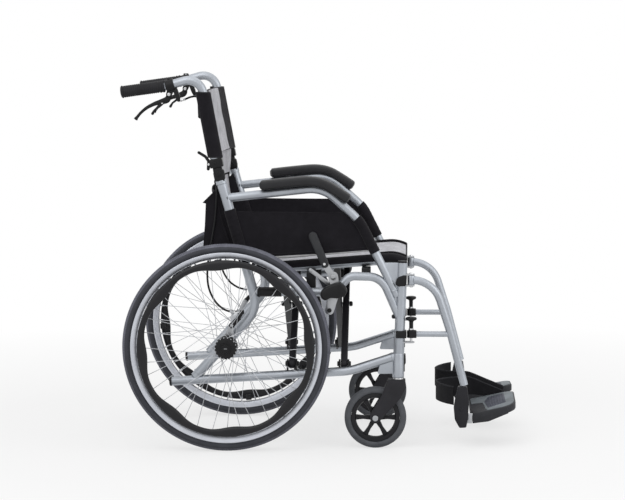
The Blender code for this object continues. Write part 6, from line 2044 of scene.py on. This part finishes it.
@dataclass
class Studio:
    """The floor, the white surroundings, the lamps and the camera."""

    lens_px: float = 2401.0
    image_px: float = 625.0
    sensor_mm: float = 36.0
    eye: tuple[float, float, float] = (0.21698, -6.0503, 1.06997)
    yaw: float = 0.03997
    pitch: float = 0.09928
    roll: float = -0.00232
    lit: tuple[float, float, float] = (0.0, 0.0, 0.45)
    ambient: float = 0.62
    fade: Point = (0.9, 2.2)
    near_white: float = 0.65

    def build(self) -> None:
        """Sets the whole stage."""
        bpy.context.scene.view_settings.view_transform = "Standard"
        self.camera()
        self.floor()
        self.world()
        self.lamps()

    def camera(self) -> None:
        """The camera, at the photograph's place."""
        ahead = Vector((-sin(self.yaw) * cos(self.pitch), cos(self.yaw) * cos(self.pitch), -sin(self.pitch)))
        right = Vector((cos(self.yaw), sin(self.yaw), 0.0))
        top = right.cross(ahead)
        across = right * cos(self.roll) + top * sin(self.roll)
        upward = top * cos(self.roll) - right * sin(self.roll)
        data = bpy.data.cameras.new("camera")
        data.sensor_width = self.sensor_mm
        data.lens = self.lens_px * self.sensor_mm / self.image_px
        turn = Matrix((across, upward, -ahead)).transposed().to_4x4()
        bpy.context.scene.camera = placed("camera", data, Matrix.Translation(self.eye) @ turn)

    def white_to(self, graph: Graph, kinds: Sequence[str]) -> Socket:
        """A factor that is 1 for the named kinds of ray."""
        path = graph.node("ShaderNodeLightPath")
        total = path.outputs[kinds[0]]
        for kind in kinds[1:]:
            total = graph.math("MAXIMUM", total, path.outputs[kind])
        return total

    def floor(self) -> None:
        """A wide pale floor that keeps the object's shadow."""
        shape = bmesh.new()
        bmesh.ops.create_grid(shape, x_segments=2, y_segments=2, size=30.0)
        data = bpy.data.meshes.new("floor")
        shape.to_mesh(data)
        shape.free()
        paper = bpy.data.materials.new("floor_paper")
        graph = Graph(paper, "Principled BSDF", Roughness=0.9, Specular_IOR_Level=0.0)
        graph.tint(self.white_to(graph, ["Is Camera Ray"]), (0.5, 0.5, 0.5), (0.82, 0.82, 0.82), 0.0, 1.0)
        glow = graph.node("ShaderNodeEmission", {"Color": (1, 1, 1, 1), "Strength": 1.0})
        away = graph.node("ShaderNodeVectorMath", operation="LENGTH")
        graph.link(graph.coords("Object", (1, 1, 1)), away.inputs[0])
        span = graph.node("ShaderNodeMapRange",
                          {"From Min": self.fade[0], "From Max": self.fade[1], "To Min": self.near_white,
                           "To Max": 1.0})
        graph.link(away.outputs["Value"], span.inputs["Value"])
        share = graph.math("MULTIPLY", self.white_to(graph, ["Is Camera Ray"]), span.outputs["Result"])
        share = graph.math("MAXIMUM", share, self.white_to(graph, ["Is Glossy Ray", "Is Transmission Ray"]))
        graph.mix(share, graph.shader, glow)
        data.materials.append(paper)
        made = placed("floor", data)

    def world(self) -> None:
        """White surroundings for the eye and for reflections, with plain soft light."""
        world = bpy.data.worlds.new("surroundings")
        bpy.context.scene.world = world
        white = (1.0, 1.0, 1.0, 1.0)
        graph = Graph(world, "Background", Color=white, Strength=self.ambient)
        seen = graph.node("ShaderNodeBackground", {"Color": white, "Strength": 1.0})
        kinds = ["Is Camera Ray", "Is Glossy Ray", "Is Transmission Ray"]
        graph.mix(self.white_to(graph, kinds), graph.shader, seen)

    def lamp(self, name: str, place: Sequence[float], size: float, power: float) -> None:
        """A square soft lamp that faces the middle of the object.

        Args:
            name: The lamp's name.
            place: Where it hangs.
            size: The length of its sides.
            power: Its power in watts.
        """
        data = bpy.data.lights.new(name, "AREA")
        data.shape, data.size, data.energy = "SQUARE", size, power
        towards = Vector(self.lit) - Vector(place)
        turn = (-UPWARD).rotation_difference(towards).to_matrix().to_4x4()
        placed(name, data, Matrix.Translation(place) @ turn)

    def lamps(self) -> None:
        """A broad key over the near side, a fill from the front and a rim from behind."""
        self.lamp("key", (-1.4, -2.6, 3.2), 3.6, 52.0)
        self.lamp("fill", (2.8, -1.6, 1.8), 2.8, 34.0)
        self.lamp("top", (0.2, 0.8, 3.6), 3.6, 24.0)


def main() -> None:
    """Builds every sub-assembly and reports the result."""
    logging.basicConfig(level=logging.INFO, format="%(message)s")
    Studio().build()
    for side in Side:
        for assembly in (SideFrame, RearWheel, HubBrake, Castor, Footrest, BackPost, BrakeCable, Armrest,
                         ParkingBrake):
            assembly(side).build()
    CrossBrace(Side.LEFT, "brace_a", LEFT_BARS, LEVER_GREY).build()
    CrossBrace(Side.RIGHT, "brace_b", RIGHT_BARS, DARK_PAINT).build()
    Seat().build()
    BackCloth().build()


if __name__ == "__main__":
    main()
